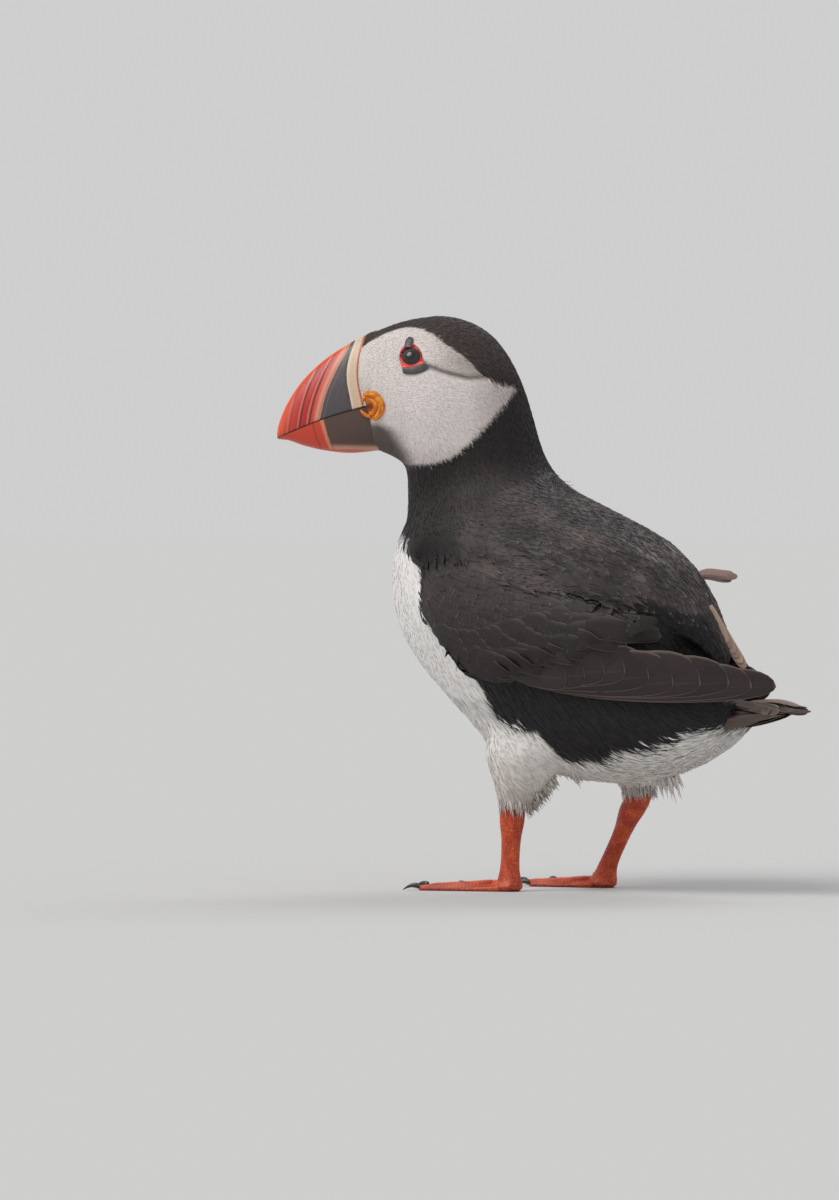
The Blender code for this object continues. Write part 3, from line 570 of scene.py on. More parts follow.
# Places on the wanted faces of the skin, none closer to another than spacing
def scatter(wanted, spacing, density=3.6):
    corners = skinPoints[skinFaces]
    areas = np.linalg.norm(np.cross(corners[:, 2] - corners[:, 0], corners[:, 3] - corners[:, 1]), axis=1) / 2
    areas = np.where(wanted, areas, 0)
    count = int(areas.sum() / (spacing * mm) ** 2 * density)
    chosen = chance.choice(len(areas), count, p=areas / areas.sum())
    s, t = chance.random((2, count, 1))
    c = corners[chosen]
    points = (c[:, 0] * (1 - s) + c[:, 1] * s) * (1 - t) + (c[:, 3] * (1 - s) + c[:, 2] * s) * t
    cells, kept = {}, []
    limit = (spacing * mm) ** 2
    around = [(i, j, k) for i in (-1, 0, 1) for j in (-1, 0, 1) for k in (-1, 0, 1)]
    keys = np.floor(points / (spacing * mm)).astype(int).tolist()
    for number, ((a, b, c), (x, y, z)) in enumerate(zip(keys, points.tolist())):
        others = (other for i, j, k in around for other in cells.get((a + i, b + j, c + k), ()))
        if all((x - p) ** 2 + (y - q) ** 2 + (z - r) ** 2 >= limit for p, q, r in others):
            cells.setdefault((a, b, c), []).append((x, y, z))
            kept.append(number)
    return points[kept]


# A closed spindle: (across, along, up) from -1 to 1, 0 to 1 and -1 to 1
def tuftShape(rows=4, sides=3):
    bm = bmesh.new()
    bmesh.ops.create_circle(bm, cap_ends=True, segments=sides, radius=1)
    face = bm.faces[:]
    for row in range(rows):
        inner = face if row else []
        grown = bmesh.ops.extrude_face_region(bm, geom=face)["geom"]
        face = [item for item in grown if isinstance(item, bmesh.types.BMFace)]
        bmesh.ops.translate(bm, vec=(0, 0, 1 / rows), verts=face[0].verts)
        bmesh.ops.delete(bm, geom=inner, context="FACES_ONLY")
    bmesh.ops.recalc_face_normals(bm, faces=bm.faces)
    wide = max(v.co.x for v in bm.verts)
    return shapeOf(bm, lambda co: (co.x / wide, co.z, co.y))


# A closed thin leaf in the same terms
def vaneShape(columns=4, rows=7, crowding=1.0):
    bm = bmesh.new()
    bmesh.ops.create_grid(bm, x_segments=columns, y_segments=rows, size=1)
    bmesh.ops.solidify(bm, geom=bm.faces[:], thickness=0.2)
    bmesh.ops.recalc_face_normals(bm, faces=bm.faces)
    high = sum(v.co.z for v in bm.verts) / len(bm.verts)
    return shapeOf(bm, lambda co: (co.x, 1 - ((1 - co.y) / 2) ** crowding, 1.0 if co.z > high else -1.0))


def shapeOf(bm, place):
    bm.verts.index_update()
    places = np.array([place(v.co) for v in bm.verts])
    faces = [[v.index for v in f.verts] for f in bm.faces]
    bm.free()
    corners = [(face[0], a, b) for face in faces for a, b in zip(face[1:], face[2:])]
    if np.linalg.det(places[np.array(corners)]).sum() > 0:  # a feather's own axes are left-handed
        faces = [face[::-1] for face in faces]
    return {"places": places, "faces": faces}


def roundEnd(v, start, power):
    return np.sqrt(np.clip(1 - np.clip((v - start) / (1 - start), 0, 1) ** power, 0.0, 1))


# the feather's half-width along its length, as a share
outlines = {
    "tuft": lambda v: (0.55 + 0.45 * np.sin(np.pi * np.clip(v * 1.25, 0, 1))
                       - 0.95 * np.clip(v - 0.35, 0, 1) ** 1.2),
    "round": lambda v: roundEnd(v, 0.62, 2.2) * (0.6 + 0.4 * smoothstep(0, 0.3, v)),
    "quill": lambda v: roundEnd(v, 0.8, 2.0) * (0.45 + 0.55 * smoothstep(0, 0.35, v)),
}


# Where each place lies on an unwrap of the skin: round the bird's own axis, and along it
def unwrapped(points):
    spine = [headPoint(42, 0, 170), headPoint(8, 0, 172), bodyPoint(-37, 0, 140), bodyPoint(-18, 0, 98)]
    spine += [bodyPoint(30, 0, 74), bodyPoint(100, 0, 62)]
    total = sum((b - a).length for a, b in zip(spine, spine[1:]))
    best, found, run = np.full(len(points), 1e9), np.zeros((len(points), 2)), 0.0
    for low, high in zip(spine, spine[1:]):
        a, way = np.array(low), np.array(high - low)
        length = np.linalg.norm(way)
        way = way / length
        share = np.clip((points - a) @ way, 0, length)
        away = points - a - share[:, None] * way
        side = unit(np.cross(way, (0, 0, 1.0001)))
        over = np.cross(side, way)
        angle = np.arctan2(away @ side, away @ over) / (2 * np.pi) + 0.5
        apart = np.linalg.norm(away, axis=1)
        closer = apart < best
        best = np.where(closer, apart, best)
        found[closer] = np.stack([angle, (run + share) / total], axis=1)[closer]
        run += length
    return 0.01 + 0.98 * found


# Joins many feathers: centres and normals are (feather, row, xyz), widths (feather, 2) in mm
def featherMesh(name, shape, centres, normals, widths, outline, rise, thickness, colours, worn, camber=0.12,
                soft=0.5):
    places, faces = shape["places"], shape["faces"]
    count, rows = centres.shape[:2]
    number = len(places)
    along = places[:, 1] * (rows - 1)
    low = np.clip(np.floor(along).astype(int), 0, rows - 2)
    part = (along - low)[None, :, None]

    def between(values):
        return values[:, low] * (1 - part) + values[:, low + 1] * part

    up = unit(between(normals))
    side = unit(np.cross(up, unit(between(np.gradient(centres, axis=1)))))
    half = np.where(places[None, :, 0] >= 0, widths[:, 1:2], widths[:, 0:1])
    half = np.maximum(half * outlines[outline](places[:, 1])[None], 0.02) * mm
    across = places[None, :, 0] * half
    lift = np.broadcast_to(rise, count)[:, None] * mm * (places[None, :, 1] ** 1.3)
    lift = lift - camber * places[None, :, 0] ** 2 * half + places[None, :, 2] * thickness * mm / 2
    verts = between(centres) + side * across[:, :, None] + up * lift[:, :, None]
    loops = np.concatenate([np.array(face) for face in faces])
    starts = np.cumsum([0] + [len(face) for face in faces])[:-1]
    allLoops = (loops[None] + (np.arange(count) * number)[:, None]).ravel()
    mesh = bpy.data.meshes.new(name)
    mesh.vertices.add(count * number)
    mesh.vertices.foreach_set("co", verts.ravel())
    mesh.loops.add(len(allLoops))
    mesh.loops.foreach_set("vertex_index", allLoops)
    mesh.polygons.add(count * len(faces))
    mesh.polygons.foreach_set("loop_start", (starts[None] + (np.arange(count) * len(loops))[:, None]).ravel())
    mesh.polygons.foreach_set("use_smooth", np.ones(count * len(faces), dtype=bool))
    mesh.update(calc_edges=True)
    onLoops = np.stack([places[:, 0] / 2 + 0.5, places[:, 1]], axis=1)[loops]
    patch = unwrapped(centres[:, 0])[:, None, :] + (onLoops[None] - 0.5) * 0.003
    for layer, values in (("vane", np.tile(onLoops, (count, 1))), ("OFBake", patch)):
        mesh.uv_layers.new(name=layer).data.foreach_set("uv", values.ravel())
    rgba = np.ones((count, number, 4))
    rgba[:, :, :3] = between(np.repeat(colours[:, None], rows, axis=1) if colours.ndim == 2 else colours)
    mesh.attributes.new("tone", "FLOAT_COLOR", "POINT").data.foreach_set("color", rgba.ravel())
    age = np.repeat(np.broadcast_to(worn, count), number)
    mesh.attributes.new("worn", "FLOAT", "POINT").data.foreach_set("value", age)
    own = normalsOf(mesh).reshape(count, number, 3)
    facing = (own * up).sum(axis=2, keepdims=True) > -0.3
    shaded = np.where(facing, unit(own * (1 - soft) + up * soft), own)
    mesh.normals_split_custom_set_from_vertices(shaded.reshape(-1, 3).tolist())
    return mesh


# Lines along the coat from each root: centres and normals, (feather, row, xyz)
def march(roots, lengths, rows, spread):
    places, normals = settled(roots)
    way = lie(places, normals)
    turn = chance.normal(0, spread, len(roots))
    step = (lengths * mm / rows)[:, None]
    centres, ups = [places], [normals]
    for _ in range(rows):
        turned = way * np.cos(turn)[:, None] + np.cross(normals, way) * np.sin(turn)[:, None]
        onward = places + turned * step
        found, foundUps = settled(onward)
        far = np.linalg.norm(found - onward, axis=1) > step[:, 0] * 0.5
        leaves = (far | ((foundUps * normals).sum(axis=1) < 0.65))[:, None]
        places = np.where(leaves, onward, found)
        normals = np.where(leaves, normals, foundUps)
        way = np.where(leaves, turned, lie(places, normals))
        turn = np.where(leaves[:, 0], 0.0, turn)
        centres.append(places)
        ups.append(normals)
    return np.stack(centres, axis=1), np.stack(ups, axis=1)


# Which feathers end on the skin and face as it does there
def landed(centres, normals, reach=0.8):
    ends, facing = settled(centres[:, -1])
    apart = np.linalg.norm(ends - centres[:, -1], axis=1)
    agree = np.minimum((facing * normals[:, -1]).sum(axis=1), (normals[:, 0] * normals[:, -1]).sum(axis=1))
    return (apart < reach * mm) & (agree > 0.5)


# Small feathers over one region of the skin
def coat(region, material, slot, colour=markings, grow=None):
    look, name = coats[region], region + "Coat"
    roots = scatter(regions[region], look["spacing"])
    size = 1 + chance.normal(0, 0.12, len(roots))
    grown = grow(roots) if grow else np.ones(len(roots))
    centres, normals = march(roots, look["length"] * size * grown, look["rows"], look["spread"])
    kept = landed(centres, normals)
    size, grown, centres, normals, count = size[kept], grown[kept], centres[kept], normals[kept], kept.sum()
    widths = np.repeat((look["width"] / 2 * size * grown ** 0.5)[:, None], 2, axis=1)
    ragged = np.repeat(chance.normal(0, look["ragged"], count), look["rows"] + 1)
    colours = colour(centres.reshape(-1, 3), ragged).reshape(count, -1, 3)
    colours = colours * np.clip(1 + chance.normal(0, look["uneven"], count), 0.5, 1.6)[:, None, None]
    rise = look["rise"] * np.clip(1 + chance.normal(0, 0.3, count), 0.2, 2)
    # no worn fringe on feathers as dark as the painted shade in the hollow
    worn = np.clip(chance.normal(look["worn"], 0.25, count), 0, 1) * (colours.mean(axis=(1, 2)) > 0.005)
    mesh = featherMesh(name, tuftShape(look["rows"], look["sides"]), centres, normals, widths,
                       look["outline"], rise, look["thick"], colours, worn, soft=look["soft"])
    newPiece(name, mesh, slot, material)
    print(name, count, "feathers", len(mesh.polygons), "faces")


def finishSkin():
    tone = skinMesh.attributes.new("tone", "FLOAT_COLOR", "POINT")
    rgba = np.ones((len(skinPoints), 4))
    onFace = smoothstep(143, 147, headPlaces(skinPoints)[2])[:, None]
    ground = markings(skinPoints)
    pale = smoothstep(0.1, 0.4, ground[:, :1])
    # painted shade: the skin under the coat is darker than the feathers over it (less so on the face and the
    # white), for the shade between them
    rgba[:, :3] = ground * (0.85 + 0.1 * np.maximum(onFace, pale))
    rgba[~eyesClear(skinPoints, 4.0), :3] = linear(70, 14, 14)
    # painted shade: the skin on and beside the wing, in its crease, takes the wing's tone darkened
    rgba[onWing(skinPoints, 1.5), :3] = np.array(tones["wing"]) * 0.85
    tone.data.foreach_set("color", rgba.ravel())
    paint = Paint("skin", Roughness=0.9)
    newPiece("skin", skinMesh, "white_feather", paint.set(Base_Color=paint.attribute("tone", 0)), fleshNodes)


wingTrees = {side: nodeTree("wing_" + side) for side in ("left", "right")}


# True where the skin is a wing's; with normals, only where it faces the way that the wing does
def onWing(points, reach=1.9, normals=None):
    found = np.zeros(len(points), dtype=bool)
    for side, sign in (("left", -1), ("right", 1)):
        tree = wingTrees[side]
        for k in np.nonzero(points[:, 1] * sign > 15 * mm)[0]:
            place, facing, _, apart = tree.find_nearest(points[k], 0.004)
            found[k] = place is not None and apart < reach * mm
            if found[k] and normals is not None:
                found[k] = facing.dot(Vector(normals[k])) > 0.8
    return found


faceCentres = skinPoints[skinFaces].mean(axis=1)
faceWing = onWing(faceCentres, 1.9, faceNormals)
nearWing = onWing(faceCentres, 0.5, faceNormals) | faceWing
centreAhead, _, centreHeight = headPlaces(faceCentres)
centreX, centreY, centreZ = bodyPlaces(faceCentres)
headLine = centreHeight > 136 + np.clip(-centreAhead, 0, 30) * 0.4


def eyesClear(points, reach=4.3):
    clear = np.ones(len(points), dtype=bool)
    for side in ("left", "right"):
        centre = np.array(middle("eye_" + side))
        clear &= np.linalg.norm(points - centre, axis=1) > reach * mm
    return clear


# Of the marked faces, those from which a feather's length leads to the wing's outer face
def staysOnWing(marked, reach=4.5):
    kept = marked.copy()
    chosen = np.nonzero(marked)[0]
    ways = lie(faceCentres[chosen], faceNormals[chosen])
    ends, normals = settled(faceCentres[chosen] + ways * reach * mm)
    same = (normals * faceNormals[chosen]).sum(axis=1) > 0.75
    kept[chosen] = onWing(ends, 2.1, normals) & same
    return kept


openFace = eyesClear(faceCentres) & ((fromGape(centreAhead, centreHeight) > 4.6) | (centreAhead < 25))
white = markings(faceCentres)[:, 0] > 0.1
paleFace = (centreHeight > 143) & white
onHead = headLine & ~nearWing & openFace
onBody = ~headLine & ~nearWing
outerWing = faceWing & (faceNormals[:, 2] > -0.15) & (faceNormals[:, 0] > -0.85)
farTip = (centreY > 0) & (centreX > 36) & (centreZ > 94)
regions = {
    "face": onHead & paleFace,
    "cap": onHead & ~paleFace,
    "breast": onBody & white & (centreZ > 70),
    "belly": onBody & white & (centreZ <= 70),
    "mantle": onBody & ~white & (centreZ > 84),
    "flank": onBody & ~white & (centreZ <= 84),
    "wing": staysOnWing(outerWing) & ~farTip,
}

tuftLook = {"rows": 3, "sides": 3, "spread": 0.14, "thick": 0.09, "worn": 0.0, "outline": "tuft"}
vaneLook = {"sides": 4, "ragged": 0.0, "outline": "round"}
# Spacing, length, width, rise at the tip and thickness in millimetres; spread and unevenness as shares.
coats = {
    "face": {**tuftLook, "spacing": 0.415, "length": 2.6, "width": 0.62, "rows": 2, "ragged": 0.25,
             "uneven": 0.045, "rise": 0.13, "thick": 0.07, "soft": 0.85},
    "cap": {**tuftLook, "spacing": 0.52, "length": 3.4, "width": 0.8, "rows": 2, "ragged": 0.3,
            "uneven": 0.14, "rise": 0.2, "thick": 0.07, "worn": 0.3, "soft": 0.7},
    "breast": {**tuftLook, "spacing": 0.8, "length": 5.5, "width": 1.3, "spread": 0.1, "ragged": 0.6,
               "uneven": 0.02, "rise": 0.16, "thick": 0.07, "soft": 0.9},
    "belly": {**tuftLook, "spacing": 0.8, "length": 7.0, "width": 1.0, "spread": 0.16, "ragged": 0.9,
              "uneven": 0.04, "rise": 0.45, "soft": 0.8},
    "mantle": {**tuftLook, "spacing": 0.82, "length": 5.5, "width": 1.2, "rows": 2, "spread": 0.16,
               "ragged": 0.5, "uneven": 0.2, "rise": 0.3, "worn": 0.4, "soft": 0.65},
    "flank": {**tuftLook, "spacing": 0.9, "length": 7.0, "width": 1.1, "ragged": 0.9, "uneven": 0.2,
              "rise": 0.4, "worn": 0.3, "soft": 0.6},
    "wing": {**vaneLook, "spacing": 1.6, "length": 6.6, "width": 4.0, "rows": 6, "spread": 0.06,
             "uneven": 0.07, "rise": 0.12, "thick": 0.1, "worn": 0.2, "soft": 0.8},
    "scapular": {**vaneLook, "spacing": 2.5, "length": 9.5, "width": 3.0, "rows": 8, "spread": 0.2,
                 "uneven": 0.22, "rise": 0.3, "thick": 0.12, "worn": 0.6, "soft": 0.75},
}


foldLines = {  # the worn edges of the shoulder feathers over the wing, as (along, height)
    "upper": [(-33, 113.8), (-22, 115.6), (-10, 116.2), (0, 115.6), (9, 113.2), (17, 109.6)],
    "lower": [(0, 108.4), (10, 106.6), (20, 104.9), (30, 103.8), (40, 102.9), (50, 101.0)],
}


# Painted shadow cast just under those edges
def foldShade(points):
    x, _, z = bodyPlaces(points)
    shade = np.zeros(len(points))
    for line in foldLines.values():
        under = readLine(line, x) - z
        start, end = line[0][0], line[-1][0]
        along = smoothstep(start - 3, start + 6, x) * smoothstep(end + 3, end - 6, x)
        shade = np.maximum(shade, smoothstep(-0.6, 0.6, under) * smoothstep(5.0, 1.5, under) * along)
    return shade


def wingTone(points, _):
    colours = layered(
        plain("wing", points),
        ("wingBrown", smoothstep(0.0, 0.9, wander(points, 0.09, 2.0)) * 0.8),
        ("mantleDark", smoothstep(0.0, -0.9, wander(points, 0.13, 9.0)) * 0.7),
    )
    # the wing's tone darkened by the painted shadow under the shoulder feathers' edges
    return colours * (1 - 0.5 * foldShade(points))[:, None]


def faceGrow(points):
    ahead, _, _ = headPlaces(points)
    return 0.6 + 0.6 * smoothstep(36, -8, ahead)


# Shorter feathers at the rump's end, so that none stands out behind it
def bodyGrow(points):
    x, _, z = bodyPlaces(points)
    return 1 - 0.5 * smoothstep(66, 78, x) * smoothstep(56, 62, z)


print("coat")
finishSkin()
coat("face", whitePaint, "face_feather", grow=faceGrow)
coat("cap", darkPaint, "black_feather")
coat("breast", whitePaint, "white_feather")
coat("belly", whitePaint, "white_feather", grow=bodyGrow)
coat("mantle", darkPaint, "black_feather", grow=bodyGrow)
coat("flank", darkPaint, "black_feather", grow=bodyGrow)
coat("wing", wingPaint, "wing_feather", wingTone)
# the shoulders, over the wing and down to the rump, with a gap along the spine
scapulars = (centreX > -12) & (centreX < 70) & (centreZ < 124) & regions["mantle"]
scapulars &= centreZ > 101 - np.maximum(centreX - 46, 0) * 0.36
regions["scapular"] = scapulars & (np.abs(centreY) > 6)
coat("scapular", wingPaint, "black_feather")


# A smooth curve through equally spaced values
def curveThrough(points, share):
    points = np.array(points, dtype=float)
    last = len(points) - 1
    place = min(max(share, 0), 1) * last
    first = min(int(place), last - 1)
    t = place - first
    a, b, c, d = (points[min(max(first + k, 0), last)] for k in (-1, 0, 1, 2))
    start, end = (c - a) / 2, (d - b) / 2
    bend = (t**3 - 2 * t**2 + t) * start + (t**3 - t**2) * end
    return (2 * t**3 - 3 * t**2 + 1) * b + (3 * t**2 - 2 * t**3) * c + bend


# The first place that a ray meets on any of the trees, and its normal
def firstHit(trees, start, way):
    hits = [tree.ray_cast(start, way)[:2] for tree in trees]
    hits = [hit for hit in hits if hit[0] is not None]
    return min(hits, key=lambda hit: (hit[0] - start).dot(way), default=(None, None))


# Shafts drawn on the side view as (along, height) points, laid on the wing's outer face
def sidePaths(trees, sign, paths, rows, standOff):
    centres, normals = np.zeros((2, len(paths), rows + 1, 3))
    for number, (path, off) in enumerate(zip(paths, standOff)):
        for row in range(rows + 1):
            along, height = curveThrough(path, row / rows)
            place, normal = firstHit(trees, bodyPoint(along, sign * 90, height), Vector((0, -sign, 0)))
            if place is None:
                near = bodyPoint(along, sign * 20, height)
                nearest = [tree.find_nearest(near)[0] for tree in trees]
                place = min(nearest, key=lambda spot: (spot - near).length)
                place, normal = Vector((near.x, place.y, near.z)), Vector((0, sign, 0))
            centres[number, row], normals[number, row] = place + normal * off * mm, normal
    for _ in range(2):
        normals[:, 1:-1] = unit(normals[:, 1:-1] * 2 + normals[:, :-2] + normals[:, 2:])
    return centres, normals


quillLook = {
    "primaryTips": [(95, 71.8), (88.5, 72.0), (82, 73.0), (73.4, 73.0), (64.8, 73.0), (57.3, 75.0),
                    (50, 77.2), (43, 77.0), (36, 75.5), (29, 74.5)],
    "rowsAlong": 16, "columns": 6, "thick": 0.28, "upper": 12.0, "lower": 4.2,
}
covertEdge = [(-14, 75.5), (-4, 72.8), (6, 73.2), (16, 75.2), (26, 77.4), (35, 79.8), (44, 82.6), (53, 86.6)]
covertEdge += [(61, 92.4)]
# rows over it, from the top down: distance above the edge, how many, length, halves below and above the shaft
covertRows = [(15.0, 26, 8.0, (2.2, 2.6)), (11.6, 24, 9.0, (2.4, 2.8)), (8.0, 22, 11.0, (2.7, 3.4)),
              (4.2, 19, 14.0, (3.1, 4.0)), (0.0, 16, 19.0, (3.6, 5.0))]

# The right wing is folded closer than the left: its places as drawn on the left side, moved in
def placed(x, z, sign):
    share = smoothstep(28, 66, np.array(float(x))) if sign > 0 else 0.0
    return x - 9.0 * share, z - 1.5 * share


# A shaft from root to tip on the side view, bowed up or down in the middle
def bowed(root, tip, bow, sign):
    (x0, z0), (x1, z1) = root, tip
    return [placed(x0 + (x1 - x0) * t, z0 + (z1 - z0) * t + bow * math.sin(math.pi * t), sign)
            for t in (0, 0.33, 0.66, 1)]


def makeQuills(sideName, sign):
    look, name = quillLook, "primaries_" + sideName
    paths, off, widths, colours = [], [], [], []
    for k, tip in enumerate(look["primaryTips"]):
        paths.append(bowed((-4 + 1.2 * k, 78), tip, 0.35 * k - 4.2, sign))
        off.append(0.1 + 0.17 * k)
        widths.append((look["lower"], look["upper"] * (0.62 + 0.38 * min(k, 3) / 3))[::-sign])
        colours.append(np.array(linear(50, 42, 40)) * (1.0 + 0.12 * math.sin(k * 2.3)))
    flight = "flight_feathers_" + sideName
    centres, normals = sidePaths([nodeTree(flight)], sign, paths, look["rowsAlong"], off)
    mesh = featherMesh(name, vaneShape(look["columns"], look["rowsAlong"], 1.7), centres, normals,
                       np.array(widths), "quill", 0.3, look["thick"], np.array(colours), 0.9, 0.08)
    newPiece(name, mesh, "wing_feather", quillPaint, [flight])


# A row of overlapping coverts whose tips follow a line on the side view
def makeCoverts(number, sideName, sign, lean=0.2):
    above, count, length, halves = covertRows[number]
    name = "coverts_" + str(number + 1) + "_" + sideName
    tips = [(x - above * 0.42, z + above * 0.91) for x, z in covertEdge]
    flight = nodeTree("flight_feathers_" + sideName)
    paths, offs, widths, colours = [], [], [], []
    for k in range(count):
        tipX, tipZ = curveThrough(tips, (k + 0.5) / count)
        fold = readLine(foldLines["lower" if tipX > 8 else "upper"], tipX)
        if tipZ > fold - 1.5 or tipX > 56 - above * 0.8:
            continue
        size = 1 + chance.normal(0, 0.06)
        root = (tipX - length * size * math.cos(lean), tipZ + length * size * math.sin(lean))
        path = bowed(root, (tipX, tipZ), 0.8, sign)
        # a feather stays only where its root and lower edge have the wing under them
        probes = path[:3] + [(path[0][0] - 3, path[0][1])]
        probes += [(x - 3, z - 0.8 * halves[0]) for x, z in path[:2]]
        starts = [bodyPoint(x, sign * 90, z) for x, z in probes]
        under = [firstHit((wingTrees[sideName], flight), start, Vector((0, -sign, 0)))[0] for start in starts]
        if any(place is None for place in under):
            continue
        paths.append(path)
        offs.append(0.3 + 0.12 * number + 0.05 * (k % 3))
        widths.append((halves[0] * size, halves[1] * size)[::-sign])
        colours.append(np.array(linear(38, 32, 31)) * (1 + chance.normal(0, 0.12)))
    centres, normals = sidePaths([flight, skinTree], sign, paths, 8, offs)
    mesh = featherMesh(name, vaneShape(4, 8, 1.4), centres, normals, np.array(widths), "round", 0.3, 0.2,
                       np.array(colours), 0.8, 0.08)
    newPiece(name, mesh, "wing_feather", covertPaint)


legLook = {
    "left": {"knee": (-5.4, -20.8, 29.0), "ankle": (-6.4, -21.4, 4.6), "knob": 0.3},
    "right": {"knee": (24.2, 14.0, 33.6), "ankle": (5.4, 19.4, 4.6), "knob": 0.9},
    # fore-and-aft and sideways radius, down the leg
    "radii": [(4.6, 3.5), (4.3, 3.2), (3.6, 2.7), (3.4, 2.5), (3.6, 2.7), (4.3, 3.3), (4.9, 3.9)],
}


# Feathers laid on the body, each as a line of (x, y, z), the way it faces, its halves and its colour
def layFeathers(name, feathers, rows=8, outline="round", paint=quillPaint, replaces=()):
    lines, facings, halves, colours = zip(*feathers)
    centres = [[bodyPoint(*curveThrough(line, row / rows)) for row in range(rows + 1)] for line in lines]
    normals = unit(np.repeat(np.array(facings, dtype=float)[:, None], rows + 1, axis=1))
    mesh = featherMesh(name, vaneShape(4, rows, 1.4), np.array(centres), normals, np.array(halves), outline,
                       0.0, 0.22, np.array(colours), 0.9)
    newPiece(name, mesh, "wing_feather", paint, replaces)


def makeTail():
    feathers = []
    for k in range(22):
        share = 2 * k / 21 - 1
        short = chance.uniform(0, 7) + 4 * share**2
        lift = 1.0 - 1.8 * abs(share) + chance.normal(0, 0.6)
        line = [(72, share * 4, 65.5), (82, share * 7, 65.3 + lift * 0.5), (91, share * 9.5, 64.4 + lift),
                (100.4 - short, share * 11.5, 63.6 + lift * 0.6)]
        colour = np.array(linear(96, 81, 75)) * np.clip(1 + chance.normal(0, 0.3), 0.4, 1.6)
        feathers.append((line, (0.05, share * 0.9, 0.75), (1.7, 1.7), colour))
    layFeathers("tail_feathers", feathers, 10, replaces=["tail"])
    feathers = []
    for _ in range(44):
        share, over = chance.uniform(-1, 1), chance.uniform(-1, 1)
        high = 62 + over * 4.5
        line = [(66, share * 9, high), (74, share * 8.5, high + 0.4), (81, share * 8, high * 0.7 + 19),
                (86 + chance.uniform(-2, 7), share * 8, high * 0.35 + 41.6)]
        colour = np.array(linear(58, 49, 46) if chance.random() < 0.5 else linear(104, 88, 80))
        colour = colour * (1 + chance.normal(0, 0.15))
        feathers.append((line, (0.1, share, 1 if over > -0.2 else -0.6), (1.4, 1.4), colour))
    layFeathers("tail_coverts", feathers, 7)


# Loose tufts that leave the skin: along a line of body points, each way on average
def fringe(name, line, way, count, length, width, spread, colour=None, wide=1.5, facing=None,
           slot="white_feather", paint=whitePaint, sag=0.2):
    roots = np.array([bodyPoint(*(np.array(curveThrough(line, chance.random())) + chance.normal(0, wide, 3)))
                      for _ in range(count)])
    roots, normals = settled(roots)
    ways = unit(np.array(way, dtype=float) + chance.normal(0, spread, (count, 3)))
    ways = unit(ways + normals * np.maximum(0.15 - (ways * normals).sum(axis=1), 0)[:, None])
    lengths = length * np.clip(1 + chance.normal(0, 0.25, count), 0.5, 1.6)[:, None, None] * mm
    share = np.linspace(0, 1, 5)[None, :, None]
    centres = roots[:, None] + ways[:, None] * share * lengths + np.array((0, 0, -sag)) * share**2 * lengths
    centres = centres - normals[:, None] * 0.3 * mm
    ups = normals if facing is None else np.tile(np.array(facing, dtype=float), (count, 1))
    ups = unit(ups - ways * (ups * ways).sum(axis=1)[:, None])
    ups = np.repeat(ups[:, None], 5, axis=1)
    colours = markings(roots) if colour is None else np.tile(np.array(colour), (count, 1))
    colours = colours * (1 + chance.normal(0, 0.06, count))[:, None]
    mesh = featherMesh(name, tuftShape(4, 3), centres, ups, np.full((count, 2), width / 2), "tuft", 0.0, 0.14,
                       colours, 0.0, soft=0.0)
    newPiece(name, mesh, slot, paint)


def makeFringes():
    side = (0.3, -0.9, 0.2)
    fringe("thigh_fringe", [(-1, -17, 29), (4, -17, 32), (9, -16, 34.5), (14, -15, 36.5)], (0.75, 0, -0.65),
           170, 3.2, 1.0, 0.16, facing=side)
    fringe("vent_fringe", [(48, 0, 39), (58, 0, 43), (69, 0, 50), (80, 0, 57)], (0.9, 0, -0.4), 90, 1.9, 0.6,
           0.1, wide=1.0, facing=side)
    fringe("flank_tuft", [(36, 6, 38), (39, 6, 38.5), (42, 5, 39), (45, 5, 39)], (0.45, 0, -0.9), 30, 6.2,
           1.3, 0.14, linear(232, 228, 224), facing=side)
    for sideName in ("left", "right"):
        x, y, z = legLook[sideName]["knee"]
        turns = np.linspace(0, 2 * math.pi, 13)
        around = [(x + 5.2 * math.cos(t), y + 4.6 * math.sin(t), z + 2.5) for t in turns]
        fringe("leg_fringe_" + sideName, around, (0.15, 0, -1), 150, 3.4, 0.9, 0.12,
               linear(206, 196, 188), 0.8)
    fringe("nape_hairs", [(-16, -4, 139), (-13, 0, 138), (-9, 3, 136), (-5, 4, 133)], (0.8, 0, 0.2), 22, 4.0,
           0.18, 0.3, linear(70, 58, 54), slot="black_feather", paint=darkPaint)
    feathers = []
    for off, short, tint in ((0, 0, 0.9), (0.9, 1.6, 1.15), (-1.0, 2.4, 0.75), (0.3, 0.8, 1.0)):
        line = [(46.5, 12, 108.2 + off * 0.3), (51.5, 14, 109.3 + off * 0.7), (56, 16.5, 108.6 + off),
                (60.5 - short, 19.5, 108.4 + off * 0.8)]
        colour = np.array(linear(140, 116, 110)) * tint
        feathers.append((line, (0.5, -0.8, 0.35 + 0.1 * off), (1.3, 1.3), colour))
    layFeathers("loose_feather", feathers, 12, "quill", covertPaint)
    feathers = []
    for k in range(6):
        share = k / 5
        place, normal = settled(np.array([bodyPoint(60 + 5.5 * share, 3 + 3 * share, 96 - 7 * share)]))
        way = unit(np.array((0.42 + 0.16 * share, 0.08, -1.0))) * (12 + 1.5 * share)
        path = [place[0] + (normal[0] * (0.3 + 0.9 * t) + way * t) * mm for t in (-0.2, 0.4, 1.0)]
        colour = np.array(linear(156, 132, 118)) * np.clip(1 + chance.normal(0, 0.22), 0.5, 1.5)
        line = np.stack(bodyPlaces(np.array(path)), axis=1)
        feathers.append((line, (0.5, -0.75, 0.35 - 0.1 * share), (2.0, 1.6), colour))
    layFeathers("far_feathers", feathers)


